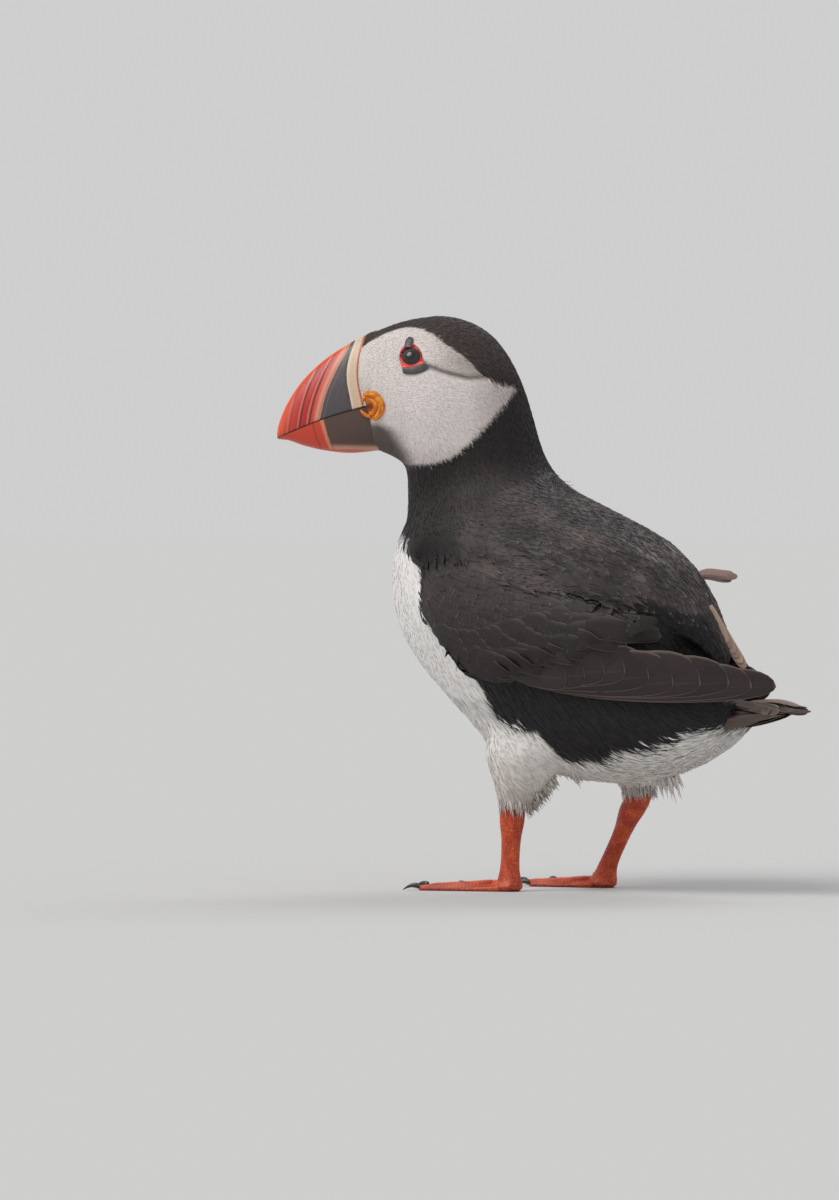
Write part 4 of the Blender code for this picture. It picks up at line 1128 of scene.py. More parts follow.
# Soft strands whose worn ends make an edge over the wing
def foldFeathers(name, line, sign, count, length, width, rise):
    spots, ends = [], []
    for _ in range(count):
        x, z = curveThrough(line, chance.random())
        if sign > 0 and x > 28:
            continue
        back = chance.uniform(0, 1.0) ** 1.5 * length * 1.4
        reach = length * 0.8 + back
        start = bodyPoint(x - reach * 0.93, sign * 90, z + reach * 0.33 + chance.normal(0, 0.7))
        place = skinTree.ray_cast(start, Vector((0, -sign, 0)))[0]
        if place is not None:
            spots.append(tuple(place))
            ends.append(back / length)
    lengths = length * np.clip(1 + chance.normal(0, 0.22, len(spots)), 0.5, 1.5)
    centres, normals = march(np.array(spots), lengths, 5, 0.14)
    kept = landed(centres, normals) & (markings(np.array(spots))[:, 0] < 0.1)
    spots, low, number = np.array(spots)[kept], np.clip(1 - np.array(ends)[kept], 0, 1), kept.sum()
    centres, normals = centres[kept] + np.array((0, sign * 0.35, 0)) * mm, normals[kept]
    size = np.clip(1 + chance.normal(0, 0.2, number), 0.6, 1.5)
    colours = np.repeat(markings(spots)[:, None], 6, axis=1)
    brown = np.array(linear(112, 95, 88)) * chance.uniform(0.5, 1.1, number)[:, None]
    rearward = smoothstep(-26, -4, bodyPlaces(spots)[0])
    worn = (chance.random(number) < 0.55) * chance.uniform(0.4, 1.0, number)
    share = (low**2 * rearward * worn)[:, None, None]
    share = share * smoothstep(0.35, 1.0, np.linspace(0, 1, 6))[None, :, None]
    colours = colours + (brown[:, None] - colours) * share
    widths = np.repeat((width / 2 * size)[:, None], 2, axis=1)
    mesh = featherMesh(name, tuftShape(5, 3), centres, normals, widths, "tuft", rise * (0.2 + 0.8 * low), 0.1,
                       colours, 0.2, 0.1, 0.8)
    newPiece(name, mesh, "black_feather", covertPaint)


print("quills")
for sideName, sign in (("left", -1), ("right", 1)):
    makeQuills(sideName, sign)
    for number in range(len(covertRows)):
        makeCoverts(number, sideName, sign)
    foldFeathers("shoulder_upper_" + sideName, foldLines["upper"], sign, 330, 8.0, 2.6, 0.7)
    foldFeathers("shoulder_lower_" + sideName, foldLines["lower"], sign, 400, 8.5, 2.8, 0.8)
makeTail()
makeFringes()


billLook = {
    # from the root forwards: ridge and lower edge as (ahead, height), and half-width
    "stations": [((34.4, 193.4), (33.6, 151.6), 8.8), ((42.8, 189.4), (43.4, 150.7), 7.8),
                 ((52.2, 183.4), (52.4, 151.6), 6.5), ((60.0, 176.0), (59.4, 153.2), 5.2),
                 ((65.4, 168.0), (64.6, 155.0), 3.9), ((68.2, 161.4), (67.4, 155.4), 2.6),
                 ((69.0, 157.6), (68.8, 155.6), 1.3)],
    "segments": 96, "rings": 110, "mouthGap": 0.03,
    "mouth": [(32.0, 168.0), (41.0, 166.0), (52.0, 162.8), (62.0, 158.9), (72.0, 154.6)],
    # borders on its side, from the top down
    "feathers": [(36.2, 196.0), (39.6, 187.0), (40.8, 178.5), (39.4, 169.5), (36.8, 160.0), (35.6, 148.0)],
    "cere": [(38.2, 196.0), (42.8, 187.0), (44.7, 178.0), (43.4, 169.0), (41.6, 160.0), (41.0, 148.0)],
    "slate": [(40.4, 196.0), (43.6, 188.0), (48.6, 178.6), (52.4, 169.0), (54.4, 158.0), (55.0, 148.0)],
    "lowerSlate": [(54.0, 170.0), (53.4, 166.0), (51.6, 158.0), (47.6, 148.0)],
    "grooves": [(3.2, 1.0), (5.9, 0.9), (8.9, 0.45)], "grooveDepth": 0.3, "grooveWidth": 0.4,
}


# A closed tube whose points are put in place by (share along, angle round)
def warpedTube(name, segments, rings, place):
    bm = bmesh.new()
    bmesh.ops.create_cone(bm, cap_ends=True, segments=segments, radius1=1, radius2=1, depth=1)
    uprights = [e for e in bm.edges if abs(e.verts[0].co.z - e.verts[1].co.z) > 0.5]
    bmesh.ops.subdivide_edges(bm, edges=uprights, cuts=rings - 1)
    for vert in bm.verts:
        vert.co = place(vert.co.z + 0.5, math.atan2(vert.co.y, vert.co.x) % (2 * math.pi))
    bmesh.ops.recalc_face_normals(bm, faces=bm.faces)
    mesh = closed(bm, name)
    mesh.shade_smooth()
    mesh.set_sharp_from_angle(angle=math.radians(50))
    return mesh


def borderAt(key, height):
    return readLine([(z, h) for h, z in billLook[key]], height)


# 1 at a line and falling off round it
def bump(away, wide):
    return math.exp(-((away / wide) ** 2))


# How deep the upper bill is cut at a place on its side: grooves, cere and the rim of the feathers
def billCut(ahead, height, ridge):
    front = smoothstep(0.0, 3.0, ridge - height)
    past = (ahead - borderAt("slate", height)) * 0.86
    cere, feathers = ahead - borderAt("cere", height), ahead - borderAt("feathers", height)
    wide = billLook["grooveWidth"]
    cut = sum(strong * bump(past - line, wide) * front for line, strong in billLook["grooves"])
    cut -= 1.5 * float(smoothstep(0.5, -0.4, cere)) - 1.2 * bump(cere - 0.3, 0.3)
    pits = 0.5 + 0.5 * math.sin(height * 5.2) * math.sin(ahead * 4.4)
    cut += 0.35 * pits * float(smoothstep(0.2, -0.3, cere))
    return cut - 1.1 * bump(feathers - 0.5, 0.45) * (0.8 + 0.2 * math.sin(height * 6))


# A point of one half of the bill: round its outside, then back along the mouth's flat
def billPlace(share, angle, upperHalf):
    top, bottom, half = (curveThrough([s[k] for s in billLook["stations"]], share) for k in (0, 1, 2))
    centre, reach = (top + bottom) / 2, (top - bottom) / 2

    def section(a):
        ahead, height = centre + reach * math.cos(a)
        return ahead, height, math.sin(a) * half * (1 - 0.22 * math.cos(a))

    low, high = 0.0, math.pi
    for _ in range(24):
        mouth = (low + high) / 2
        ahead, height, _ = section(mouth)
        if height > np.interp(ahead, *zip(*billLook["mouth"])):
            low = mouth
        else:
            high = mouth
    mouth = (low + high) / 2
    outer = 0.84  # share of the ring that is the outside
    turn = angle / (2 * math.pi)
    gap = billLook["mouthGap"] * (1 if upperHalf else -1)
    if turn < outer:
        share = 2 * turn / outer - 1
        ahead, height, side = section(mouth * share if upperHalf else math.pi + (math.pi - mouth) * share)
        if upperHalf:
            cut = billCut(ahead, height, section(0)[1])
            side *= 1 - billLook["grooveDepth"] * cut / max(abs(half), 2.0)
        return headPoint(ahead, side, height + gap * float(smoothstep(0.9, 1.0, abs(share))))
    share = (turn - outer) / (1 - outer) * 2 - 1
    ahead, height, side = section(mouth)
    side *= -share if upperHalf else share
    return headPoint(ahead, side, height + gap)


def upperColour(paint, border, grain, fine, growth, side, over):
    slate, cere, feathers = border("slate"), border("cere"), border("feathers")
    past = (slate + (grain - 0.5) * 0.25) * 0.86

    def line(where, wide, narrow=0.1):
        return where.absolute().between(wide, narrow)

    colour = paint.layers(
        linear(214, 70, 52),
        (past.between(2.0, 4.4), linear(190, 32, 26)),
        (past.between(5.5, 12.0), linear(226, 84, 54)),
        (growth.between(0.35, 0.75) * 0.35, linear(150, 20, 16)),
    )
    for place, strong in billLook["grooves"]:
        colour = paint.layers(
            colour,
            (line(past - place, 0.5) * 0.8 * strong, linear(112, 14, 16)),
            (line(past - place - 0.62, 0.4) * 0.6 * strong, linear(226, 150, 124)),
        )
    narrow = side.absolute()
    patch = paint.layers(
        linear(70, 62, 66),
        (fine, linear(88, 80, 82)),
        (line(slate + 1.1, 0.5) * 0.4, linear(120, 108, 108)),
    )
    horn = paint.layers(
        linear(226, 200, 174),
        (fine, linear(204, 172, 144)),
        (line(cere + 0.35, 0.4) * 0.5, linear(238, 222, 204)),
        ((feathers + 0.1 + (fine - 0.5) * 1.4).between(0.9, 0.4), linear(178, 82, 30)),
    )
    return paint.layers(
        colour,
        (past.between(2.5, 1.1), linear(226, 150, 122)),
        (line(past - 0.55, 0.4) * 0.5, linear(150, 96, 84)),
        (narrow.between(2.6, 0.9) * past.between(-0.5, 3.0) * 0.8, linear(244, 66, 14)),
        (narrow.between(1.25, 0.55) * past.between(-1.0, 1.5), linear(255, 156, 28)),
        (past.between(0.3, -0.1), patch),
        (cere.between(0.15, -0.15), horn),
        ((feathers + (fine - 0.5)).between(0.1, -0.3), paint.mix(over, tones["face"], tones["cap"])),
    )


def lowerColour(paint, slate, fine, foot):
    return paint.layers(
        linear(96, 70, 60),
        (fine, linear(76, 56, 50)),
        (slate.between(-0.3, 0.5), linear(216, 66, 36)),
        ((slate - 0.7).absolute().between(0.9, 0.3) * 0.75, linear(226, 150, 120)),
        ((slate - 4.2).absolute().between(0.5, 0.1) * 0.6, linear(150, 30, 22)),
        (foot.between(3.4, 1.6) * slate.between(1.0, -1.0) * 0.85, linear(222, 160, 128)),
        (foot.between(1.5, 0.7) * 0.9, linear(206, 60, 28)),
    )


def billPaint(name, upperHalf):
    paint = Paint(name, Coat_Weight=0.25, Coat_Roughness=0.2)
    where = paint.place(neckAxis)
    ahead, side, height = paint.dot(where, aheadWay), paint.dot(where, leftWay), paint.split(where)[2]
    aheadShare, heightShare = (ahead - 30) / 45, (height - 140) / 60  # a curve node takes 0 to 1

    def border(key):
        points = [((z - 140) / 60, (h - 30) / 45) for z, h in sorted((z, h) for h, z in billLook[key])]
        read = paint.node("ShaderNodeFloatCurve", {"curve": points}, {"Value": heightShare})
        return ahead - (read * 45 + 30)

    grain = paint.speckle(0.9, paint.join(ahead * 0.4, side, height * 0.4))
    fine = paint.speckle(5.0, paint.join(ahead, side, height))
    growth = paint.speckle(1.0, paint.join(border("slate") * 3.2, height * 0.06))
    mouthLine = [((h - 30) / 45, (z - 140) / 60) for h, z in billLook["mouth"]]
    mouth = paint.node("ShaderNodeFloatCurve", {"curve": mouthLine}, {"Value": aheadShare})
    apart = (height - (mouth * 60 + 140)).absolute()
    if upperHalf:
        over = (height + ahead * 0.86 - 221.3).between(-0.4, 0.4)
        colour = upperColour(paint, border, grain, fine, growth, side, over)
    else:
        foot = height - 150.6 - (ahead - 36) * 0.02
        colour = lowerColour(paint, border("lowerSlate") + (grain - 0.5) * 0.5, fine, foot)
    # painted shade along the mouth's seam between the two halves, and a fine dark speckle
    colour = paint.layers(
        colour,
        (apart.between(0.4, 0.08) * 0.85, linear(40, 16, 14)),
        (fine.between(0.45, 0.7) * 0.12, (0.0, 0.0, 0.0)),
    )
    paint.bump(fine * 0.6 + growth * 2.0, 0.00012, 0.6)
    return paint.set(Base_Color=colour, Roughness=0.28 + fine * 0.2)


def makeBill():
    for name, upperHalf, nodes in (
        ("upper_bill", True, ["cere", "upper_bill_base", "upper_bill_front"]),
        ("lower_bill", False, ["lower_bill_base", "lower_bill_front"]),
    ):
        mesh = warpedTube(name, billLook["segments"], billLook["rings"],
                          lambda share, angle: billPlace(share, angle, upperHalf))
        newPiece(name, mesh, "bill_red", billPaint(name, upperHalf), nodes)
        if upperHalf:
            makeEdgeFeathers(mesh)


# Short feathers over the edge of the cere, pale on the face and dark on the brow
def makeEdgeFeathers(mesh, count=3000):
    bm = opened(mesh)
    trees = [BVHTree.FromBMesh(bm), skinTree]
    bm.free()
    line = [(37.4, 192.6), (38.4, 190.2), (39.6, 186.8), (40.5, 182.5), (40.6, 177.5), (39.6, 172.0)]
    roots, ups = [], []
    for k in range(count):
        side = 1 if k % 2 else -1
        ahead, height = curveThrough(line, chance.random())
        ahead = ahead - chance.uniform(0, 2.2 + 0.8 * smoothstep(184, 192, height))
        start = headPoint(ahead, side * 60, height)
        place, normal = firstHit(trees, start, -leftWay * side)
        if place is not None:
            roots.append(place)
            ups.append(normal)
    roots = np.array(roots)
    radial = (roots - np.array(headPoint(0, 0, 178))) * mm
    radial = unit(radial - (radial @ np.array(aheadWay))[:, None] * np.array(aheadWay))
    ups = unit(unit(np.array(ups)) + radial)
    count = len(roots)
    way = np.array(-aheadWay + Vector((0, 0, 0.25))) + chance.normal(0, 0.1, (count, 3))
    way = unit(way - (way * ups).sum(axis=1)[:, None] * ups)
    steps = np.linspace(0, 1, 3)[None, :, None]
    centres = roots[:, None] + way[:, None] * steps * chance.uniform(1.5, 2.5, count)[:, None, None] * mm
    centres, ups = centres + ups[:, None] * 0.14 * mm, np.repeat(ups[:, None], 3, axis=1)
    colours = markings(roots, chance.normal(0, 0.25, count)) * chance.uniform(0.95, 1.04, count)[:, None]
    pale = colours[:, 0] > 0.1
    for name, kept, slot, paint, worn in (("edge_feathers", pale, "face_feather", whitePaint, 0.0),
                                          ("brow_feathers", ~pale, "black_feather", darkPaint, 0.3)):
        made = featherMesh(name, tuftShape(2, 3), centres[kept], ups[kept], np.full((kept.sum(), 2), 0.29),
                           "tuft", 0.1, 0.06, colours[kept], worn, soft=0.9)
        newPiece(name, made, slot, paint)


def gapeOut(ahead):
    return 8.9 + 0.44 * (40.0 - ahead)


def makeGape(sideName, side):
    look = gapeLook

    def band(radius, half, start, sweep, lift, folds):
        def place(share, angle):
            turn = math.radians(start + sweep * share)
            ahead = look["centre"][0] + radius * math.cos(turn)
            height = look["centre"][1] + radius * 1.1 * math.sin(turn)
            taper = 0.45 + 0.55 * math.sin(math.pi * min(max(share, 0.015), 0.985)) ** 0.5
            fold = 1 + 0.03 * math.sin(share * folds * 2 * math.pi + 1.7 * math.sin(share * 23))
            fold += 0.05 * math.sin(share * 19 + 2) * math.sin(angle * 2)
            groove = 1 - 0.3 * bump(angle - math.pi / 2 + 0.2 * math.sin(share * 9), 0.2)
            thick = half * taper * fold
            inPlane = thick * math.cos(angle)
            out = gapeOut(ahead) + lift + thick * groove * math.sin(angle)
            return headPoint(ahead + inPlane * math.cos(turn), side * out, height + inPlane * math.sin(turn))
        return place

    def lip(line, half):
        def place(share, angle):
            ahead, height = curveThrough(line, share)
            thick = half * (0.25 + 0.75 * math.sin(math.pi * share) ** 0.7)
            thick *= 1 + 0.03 * math.sin(share * 55)
            out = gapeOut(ahead) - 0.9 * abs(2 * share - 1) ** 3 - 0.3 + 0.7 * thick * math.sin(angle)
            return headPoint(ahead, side * out, height + thick * math.cos(angle))
        return place

    paint = Paint("gape_skin_" + sideName, Coat_Weight=0.15, Coat_Roughness=0.3)
    where = paint.place()
    tint, fine = paint.speckle(0.6, where), paint.speckle(3.0, where)
    paint.bump(fine, 0.00012, 0.6)
    colour = paint.layers(
        linear(206, 108, 10),
        (tint.between(0.35, 0.65), linear(238, 148, 26)),
        (fine.between(0.5, 0.75) * 0.5, linear(150, 66, 8)),
    )
    material = paint.set(Base_Color=colour, Roughness=0.42)
    rosette = band(look["radius"], look["thick"], look["start"], look["sweep"], -0.1, look["folds"])
    for name, rings, place, replaces in (
        ("gape_skin_", 150, rosette, ["gape_" + sideName]),
        ("gape_fold_", 90, band(2.3, 0.85, 70, 205, -0.5, 13), ()),
        ("upper_lip_", 40, lip(((40.2, 167.4), (39.6, 168.4), (38.6, 169.6), (37.4, 170.0)), 0.8), ()),
        ("lower_lip_", 40, lip(((40.2, 165.6), (39.2, 164.6), (37.8, 163.8), (36.2, 163.2)), 0.8), ()),
    ):
        mesh = warpedTube(name + sideName, 24, rings, place)
        newPiece(name + sideName, mesh, "gape_yellow", material, replaces)


ringLook = {
    # round the eye from the bill's side upwards: turn in degrees and the red skin's reach
    "reach": [(0, 4.05), (30, 4.1), (55, 4.4), (80, 4.0), (104, 4.5), (128, 3.7), (156, 3.45), (186, 3.7),
              (208, 5.2), (232, 3.8), (256, 3.7), (280, 3.85), (307, 4.95), (330, 4.15), (360, 4.05)],
    "opening": (3.32, 3.08), "thick": 0.5, "ball": 4.5, "sunk": 3.1,
}
hornLook = {
    # two edges as (ahead, height) from the eye's middle, and the thickness along them
    "upper": {"edges": ([(2.4, 3.2), (2.15, 4.6), (1.7, 5.9), (0.75, 6.9)],
                        [(-0.3, 2.9), (-0.5, 4.3), (-0.75, 5.6), (-0.6, 6.7)]),
              "thick": [0.75, 0.85, 0.75, 0.4]},
    "lower": {"edges": ([(3.0, -3.7), (0.6, -3.7), (-1.4, -3.3), (-2.9, -2.65), (-4.5, -2.6), (-6.1, -3.6)],
                        [(2.9, -5.8), (0.6, -6.2), (-1.6, -6.1), (-3.2, -5.7), (-4.6, -5.1), (-6.1, -4.0)]),
              "thick": [0.55, 0.6, 0.6, 0.55, 0.45, 0.2]},
}


# The skin's reach outwards round the eye, as a plane: its middle, and its slopes ahead and up
def eyePlane(centre, side, radius=5.8):
    rows, reach = [], []
    for k in range(24):
        turn = k * math.pi / 12
        ahead, up = math.cos(turn) * radius, math.sin(turn) * radius
        start = headPoint(pose["eyeAhead"] + ahead, side * 60, centre.z / mm + up)
        place = skinTree.ray_cast(start, -leftWay * side)[0]
        rows.append((1, ahead, up))
        reach.append((place - neckAxis).dot(leftWay * side) / mm)
    return np.linalg.lstsq(np.array(rows), np.array(reach), rcond=None)[0]


def makeEye(sideName, side):
    centre = middle("eye_" + sideName)
    out = leftWay * side
    ahead0, height0 = pose["eyeAhead"], centre.z / mm
    base, slopeAhead, slopeUp = eyePlane(centre, side)

    def onFace(ahead, up, lift):
        bow = 1.25 - 0.021 * (ahead * ahead + up * up)  # the face's own roundness over that plane
        reach = base + slopeAhead * ahead + slopeUp * up + bow + lift
        return headPoint(ahead0 + ahead, side * reach, height0 + up)

    facing = (out - aheadWay * slopeAhead - Vector((0, 0, slopeUp))).normalized()
    seat = onFace(0, 0, 0.1) - facing * ringLook["sunk"] * mm

    def onBall(ahead, up, lift):
        start = headPoint(ahead0 + ahead, 0, height0 + up) - seat
        wide = (start - out * start.dot(out)).length / mm
        rise = math.sqrt(max(ringLook["ball"] ** 2 - wide**2, 0.0)) + lift
        return headPoint(ahead0 + ahead, 0, height0 + up) + out * (rise * mm - start.dot(out))

    name = "eyeball_" + sideName
    bm = bmesh.new()
    bmesh.ops.create_uvsphere(bm, u_segments=64, v_segments=40, radius=ringLook["ball"] * mm)
    turn = facing.to_track_quat("Z", "Y").to_matrix().to_4x4()
    bmesh.ops.transform(bm, matrix=turn, verts=bm.verts)
    bmesh.ops.translate(bm, vec=seat, verts=bm.verts)
    mesh = closed(bm, name)
    mesh.shade_smooth()
    paint = Paint(name, Roughness=0.22, Coat_Weight=0.35, Coat_Roughness=0.1)
    where = paint.place(seat)
    iris = paint.mix(paint.speckle(1.2, where, 3.0), linear(40, 28, 24), linear(22, 16, 15))
    colour = paint.mix(paint.dot(where, facing).between(4.1, 4.22), iris, linear(3, 3, 3))
    newPiece(name, mesh, "eye", paint.set(Base_Color=colour), ["eye_" + sideName])

    # the red skin round it
    name = "lid_ring_" + sideName
    bm = bmesh.new()
    bmesh.ops.create_circle(bm, segments=16, radius=1)
    bmesh.ops.translate(bm, vec=(3, 0, 0), verts=bm.verts)
    bmesh.ops.spin(bm, geom=bm.verts[:] + bm.edges[:], axis=(0, 1, 0), cent=(0, 0, 0), angle=2 * math.pi,
                   steps=144, use_merge=True, use_duplicate=False)
    bmesh.ops.remove_doubles(bm, verts=bm.verts, dist=1e-5)
    wide, tall = ringLook["opening"]
    for vert in bm.verts:
        turn = math.atan2(vert.co.z, vert.co.x) % (2 * math.pi)
        around = math.atan2(vert.co.y, math.hypot(vert.co.x, vert.co.z) - 3)
        reach = np.interp(math.degrees(turn), *zip(*ringLook["reach"]))
        inner = wide * tall / math.hypot(tall * math.cos(turn), wide * math.sin(turn)) - 0.12
        r = (reach + inner) / 2 + (reach - inner) / 2 * math.cos(around)
        share = min(max((r - inner) / (reach - inner), 0.0), 1.0)
        lift = ringLook["thick"] * 0.5 * math.sin(around) * (1.0 - 0.5 * share)
        lift += 0.05 * math.sin(turn * 31) * share
        ahead, up = r * math.cos(turn), r * math.sin(turn)
        onward = float(smoothstep(0.1, 0.75, share))
        vert.co = onBall(ahead, up, lift + 0.12).lerp(onFace(ahead, up, lift + 0.2), onward)
    bmesh.ops.recalc_face_normals(bm, faces=bm.faces)
    mesh = closed(bm, name)
    mesh.shade_smooth()
    paint = Paint(name, Coat_Weight=0.35, Coat_Roughness=0.25)
    where = paint.place()
    rough, low = paint.speckle(2.5, where), paint.split(where)[2].between(height0 - 1.0, height0 - 2.6)
    paint.bump(rough, 0.0001, 0.6)
    colour = paint.layers(linear(206, 22, 30), (rough, linear(158, 14, 24)), (low, linear(236, 62, 44)))
    material = paint.set(Base_Color=colour, Roughness=0.4)
    newPiece(name, mesh, "eye_ring_red", material, ["eye_ring_" + sideName])

    for part, look in hornLook.items():
        def place(share, angle, look=look):
            first, second = (curveThrough(edge, share) for edge in look["edges"])
            ends = min(1.0, 7 * share + 0.45, 7 * (1 - share) + 0.45)
            flat = math.copysign(abs(math.cos(angle)) ** 0.7, math.cos(angle))
            high = math.copysign(abs(math.sin(angle)) ** 0.6, math.sin(angle))
            a, z = (first + second) / 2 + (first - second) / 2 * flat * (0.75 + 0.25 * ends)
            thick = float(curveThrough(look["thick"], share))
            return onFace(a, z, thick * ends * high * (1 + 0.06 * math.sin(share * 21)))

        name = "horn_" + part + "_" + sideName
        paint = Paint(name)
        rough = paint.speckle(1.6, paint.place())
        paint.bump(rough, 0.00012, 0.6)
        colour = paint.mix(rough, linear(52, 48, 52), linear(88, 82, 84))
        material = paint.set(Base_Color=colour, Roughness=0.4)
        nodes = ["eye_plate_" + part + "_" + sideName]
        newPiece(name, warpedTube(name, 24, 36, place), "bill_slate", material, nodes)


print("bill and eyes")
makeBill()
for sideName, side in (("left", 1), ("right", -1)):
    makeGape(sideName, side)
    makeEye(sideName, side)


def legPaint(name):
    paint = Paint(name, Coat_Weight=0.15, Coat_Roughness=0.3)
    where = paint.place()
    tint, fine = paint.speckle(0.22, where), paint.speckle(1.6, where)
    colour = paint.layers(
        linear(188, 56, 14),
        (tint.between(0.35, 0.65), linear(226, 92, 30)),
        (paint.attribute("crease") * 0.75, linear(116, 26, 8)),
        (fine.between(0.55, 0.8) * 0.3, linear(140, 44, 16)),
        (paint.split(where)[2].between(1.2, 0.1) * 0.5, linear(96, 44, 26)),
    )
    paint.bump(fine, 0.0001, 0.5)
    return paint.set(Base_Color=colour, Roughness=0.42 + tint * 0.15)


skinOrange = legPaint("legSkin")


def clawNodes(sideName):
    return ["claw_" + toe + "_" + sideName for toe in ("inner", "middle", "outer")]


def makeLeg(sideName):
    look = legLook[sideName]
    knee, ankle = bodyPoint(*look["knee"]), bodyPoint(*look["ankle"])
    heel = Vector((ankle.x, ankle.y, 2.2 * mm))

    def place(share, angle):
        centre = Vector(curveThrough([knee, knee.lerp(ankle, 0.45), ankle.lerp(knee, 0.12), heel], share))
        deep, wide = curveThrough(legLook["radii"], share)
        deep += look["knob"] * bump(share - 0.16, 0.1)
        return centre + Vector((math.cos(angle) * deep, math.sin(angle) * wide, 0)) * mm

    bm = opened(warpedTube("shankTube", 32, 60, place))
    mergedCopy(bm, "foot_" + sideName)
    mesh = remeshed(bm, "leg_" + sideName, 0.00036, 5)
    points, normals = pointsOf(mesh), normalsOf(mesh)
    # scutes down the front of the shank and along each toe, and a fine net elsewhere
    along = (points - np.array(heel)) @ unit(np.array(knee - heel)) / mm
    front = np.clip(-normals[:, 0], 0, 1) ** 0.5
    onShank = smoothstep(3.5, 5.5, points[:, 2] / mm)
    bands = np.abs(np.sin(along * math.pi / 1.55)) ** 0.6 * front * onShank
    toes = np.zeros(len(points))
    away = points - np.array((heel.x, heel.y, 0.0))
    for node in clawNodes(sideName):
        claw = middle(node)
        line = unit(np.array((claw.x - heel.x, claw.y - heel.y, 0.0)))
        run = away @ line / mm
        aside = np.abs(away @ np.array((-line[1], line[0], 0.0))) / mm
        onToe = smoothstep(2.6, 1.6, aside) * (run > 4) * smoothstep(0.3, 0.8, normals[:, 2])
        toes = np.maximum(toes, np.abs(np.sin(run * math.pi / 1.25)) ** 0.6 * onToe)
    cells = np.array([noise.voronoi(Vector(p) * 1100)[0] for p in points])
    cells = np.clip(cells[:, 1] - cells[:, 0], 0, 0.35) / 0.35
    net = cells * (1 - np.maximum(front * onShank, toes > 0)) * (points[:, 2] > 0.0004)
    points = points + normals * ((0.17 * bands + 0.13 * toes + 0.09 * net) * mm)[:, None]
    points[:, 2] = np.maximum(points[:, 2], 0)
    # the heel is drawn in, so that it doesn't spread at the floor
    forth = unit(sum(((middle(node) - heel).to_2d() for node in clawNodes(sideName)), Vector((0, 0))))
    away = points[:, :2] - np.array(heel.to_2d())
    behind = away @ np.array(forth) < 1.5 * mm
    reach = np.linalg.norm(away, axis=1) / mm
    limit = 5.1 - 2.2 * (np.clip(2.4 - points[:, 2] / mm, 0, 2.4) / 2.4) ** 2
    outer = behind & (points[:, 2] < 5 * mm) & (reach > limit)
    away[outer] *= ((limit + (reach - limit) * 0.15) / reach)[outer][:, None]
    points[:, :2] = away + np.array(heel.to_2d())
    movePoints(mesh, points)
    crease = 1 - np.clip(np.maximum(np.maximum(bands, toes), net), 0, 1)
    mesh.attributes.new("crease", "FLOAT", "POINT").data.foreach_set("value", crease)
    mesh.shade_smooth()
    newPiece("leg_" + sideName, mesh, "leg_orange", skinOrange, ["shank_" + sideName, "foot_" + sideName])


def clawPaint():
    paint = Paint("clawHorn", Coat_Weight=0.4, Coat_Roughness=0.15)
    streak = paint.speckle(0.8, paint.place(), stretch=(1, 1, 3))
    paint.bump(streak, 0.00005, 0.4)
    return paint.set(Base_Color=paint.mix(streak, linear(24, 21, 20), linear(52, 44, 40)), Roughness=0.3)


clawHorn = clawPaint()


def makeClaw(node):
    name = "nail_" + node[5:]
    centre = middle(node)
    ankle = legLook["left" if centre.y < 0 else "right"]["ankle"]
    way = ((centre - bodyPoint(ankle[0], ankle[1], 0)) * Vector((1, 1, 0))).normalized()
    across = Vector((-way.y, way.x, 0))
    start = centre - way * 3.1 * mm
    start.z = 0

    def place(share, angle):
        thick = 1.0 * (1 - share) ** 0.7 + 0.06
        rise = 1.15 + 0.9 * math.sin(math.pi * min(share * 0.9 + 0.1, 1)) - 1.0 * share**1.5
        spot = start + way * 5.9 * share * mm + Vector((0, 0, rise * mm))
        return spot + (across * math.cos(angle) * 0.85 + Vector((0, 0, 1)) * math.sin(angle)) * thick * mm

    newPiece(name, warpedTube(name, 16, 24, place), "claw", clawHorn, [node])


print("legs")
for sideName in ("left", "right"):
    makeLeg(sideName)
    for node in clawNodes(sideName):
        makeClaw(node)


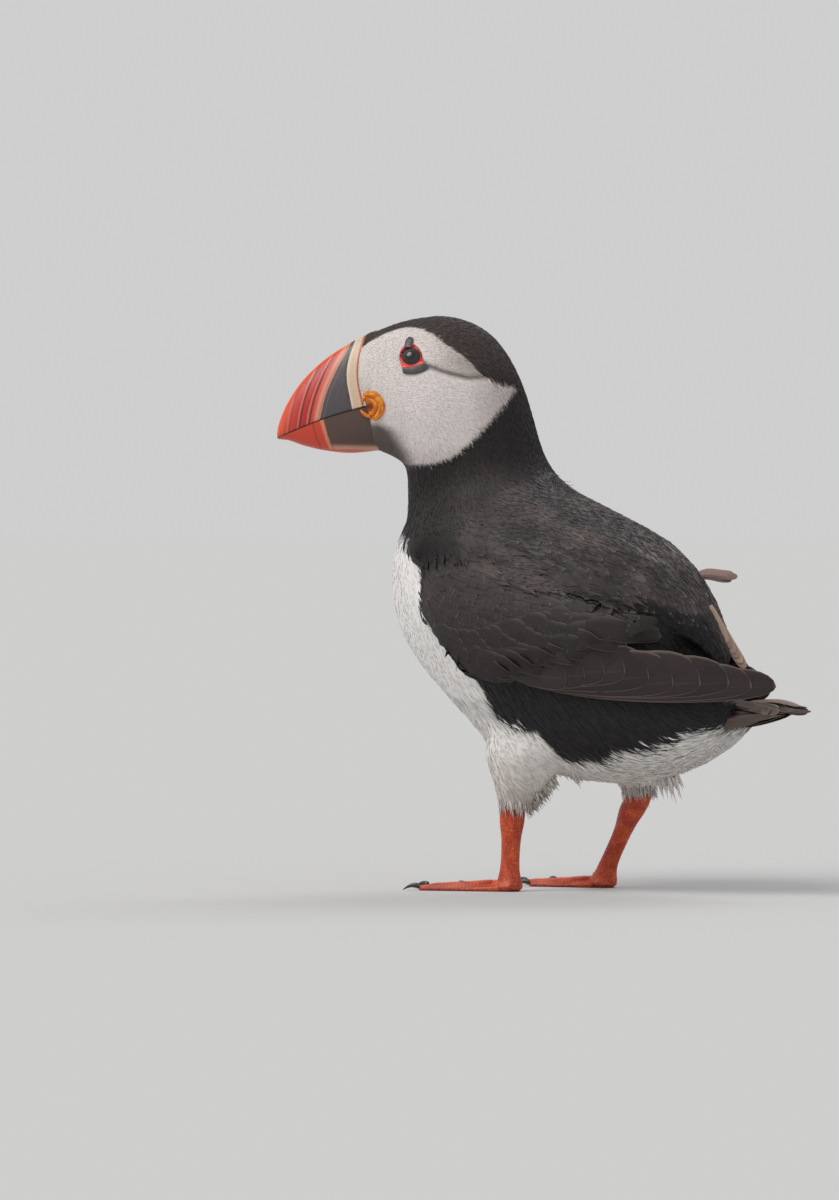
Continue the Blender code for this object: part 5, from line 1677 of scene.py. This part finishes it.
view = {"azimuth": 35, "elevation": 1, "across": -0.0519, "height": 0.100, "distance": 3.0, "tall": 0.414}


# the floor's tone is chosen so that, lit, it runs into the sky's
light = {"sky": (0.62, 0.62, 0.62), "floor": (0.545, 0.545, 0.545)}


def makeStage():
    bm = bmesh.new()
    bmesh.ops.create_circle(bm, cap_ends=True, segments=96, radius=12)
    mesh = closed(bm, "floor")
    floorPaint = Paint("floor", Roughness=1.0, Specular_IOR_Level=0.0)
    mesh.materials.append(floorPaint.set(Base_Color=light["floor"]))
    linked("floor", mesh)
    world = bpy.data.worlds.new("studio")
    world.use_nodes = True
    background = world.node_tree.nodes["Background"].inputs
    background[0].default_value, background[1].default_value = (*light["sky"], 1), 1.0
    bpy.context.scene.world = world
    bpy.context.scene.view_settings.view_transform = "Standard"


# The way from the bird towards an azimuth and an elevation in degrees
def wayTo(azimuth, elevation):
    a, e = math.radians(azimuth), math.radians(elevation)
    return Vector((math.sin(a) * math.cos(e), -math.cos(a) * math.cos(e), math.sin(e)))


# A wide soft lamp, by its direction from the bird
def makeSun(name, azimuth, elevation, wide, power, colour):
    lamp = bpy.data.lights.new(name, "SUN")
    lamp.angle, lamp.energy, lamp.color = math.radians(wide), power, colour
    seat = linked(name, lamp)
    seat.rotation_euler = (-wayTo(azimuth, elevation)).to_track_quat("-Z", "Y").to_euler()


def makeCamera():
    back = wayTo(view["azimuth"], view["elevation"])
    rightWay = wayTo(view["azimuth"] + 90, 0)
    camera = bpy.data.cameras.new("camera")
    camera.lens = camera.sensor_width * view["distance"] / view["tall"]
    camera.clip_end = 100
    seat = linked("camera", camera)
    seat.location = rightWay * view["across"] + Vector((0, 0, view["height"])) + back * view["distance"]
    seat.rotation_euler = (-back).to_track_quat("-Z", "Y").to_euler()
    bpy.context.scene.camera = seat


print("stage")
makeStage()
makeSun("key", -25, 50, 35, 1.5, (1.0, 0.98, 0.95))
makeSun("rim", 190, 45, 30, 0.7, (0.97, 0.98, 1.0))
makeCamera()
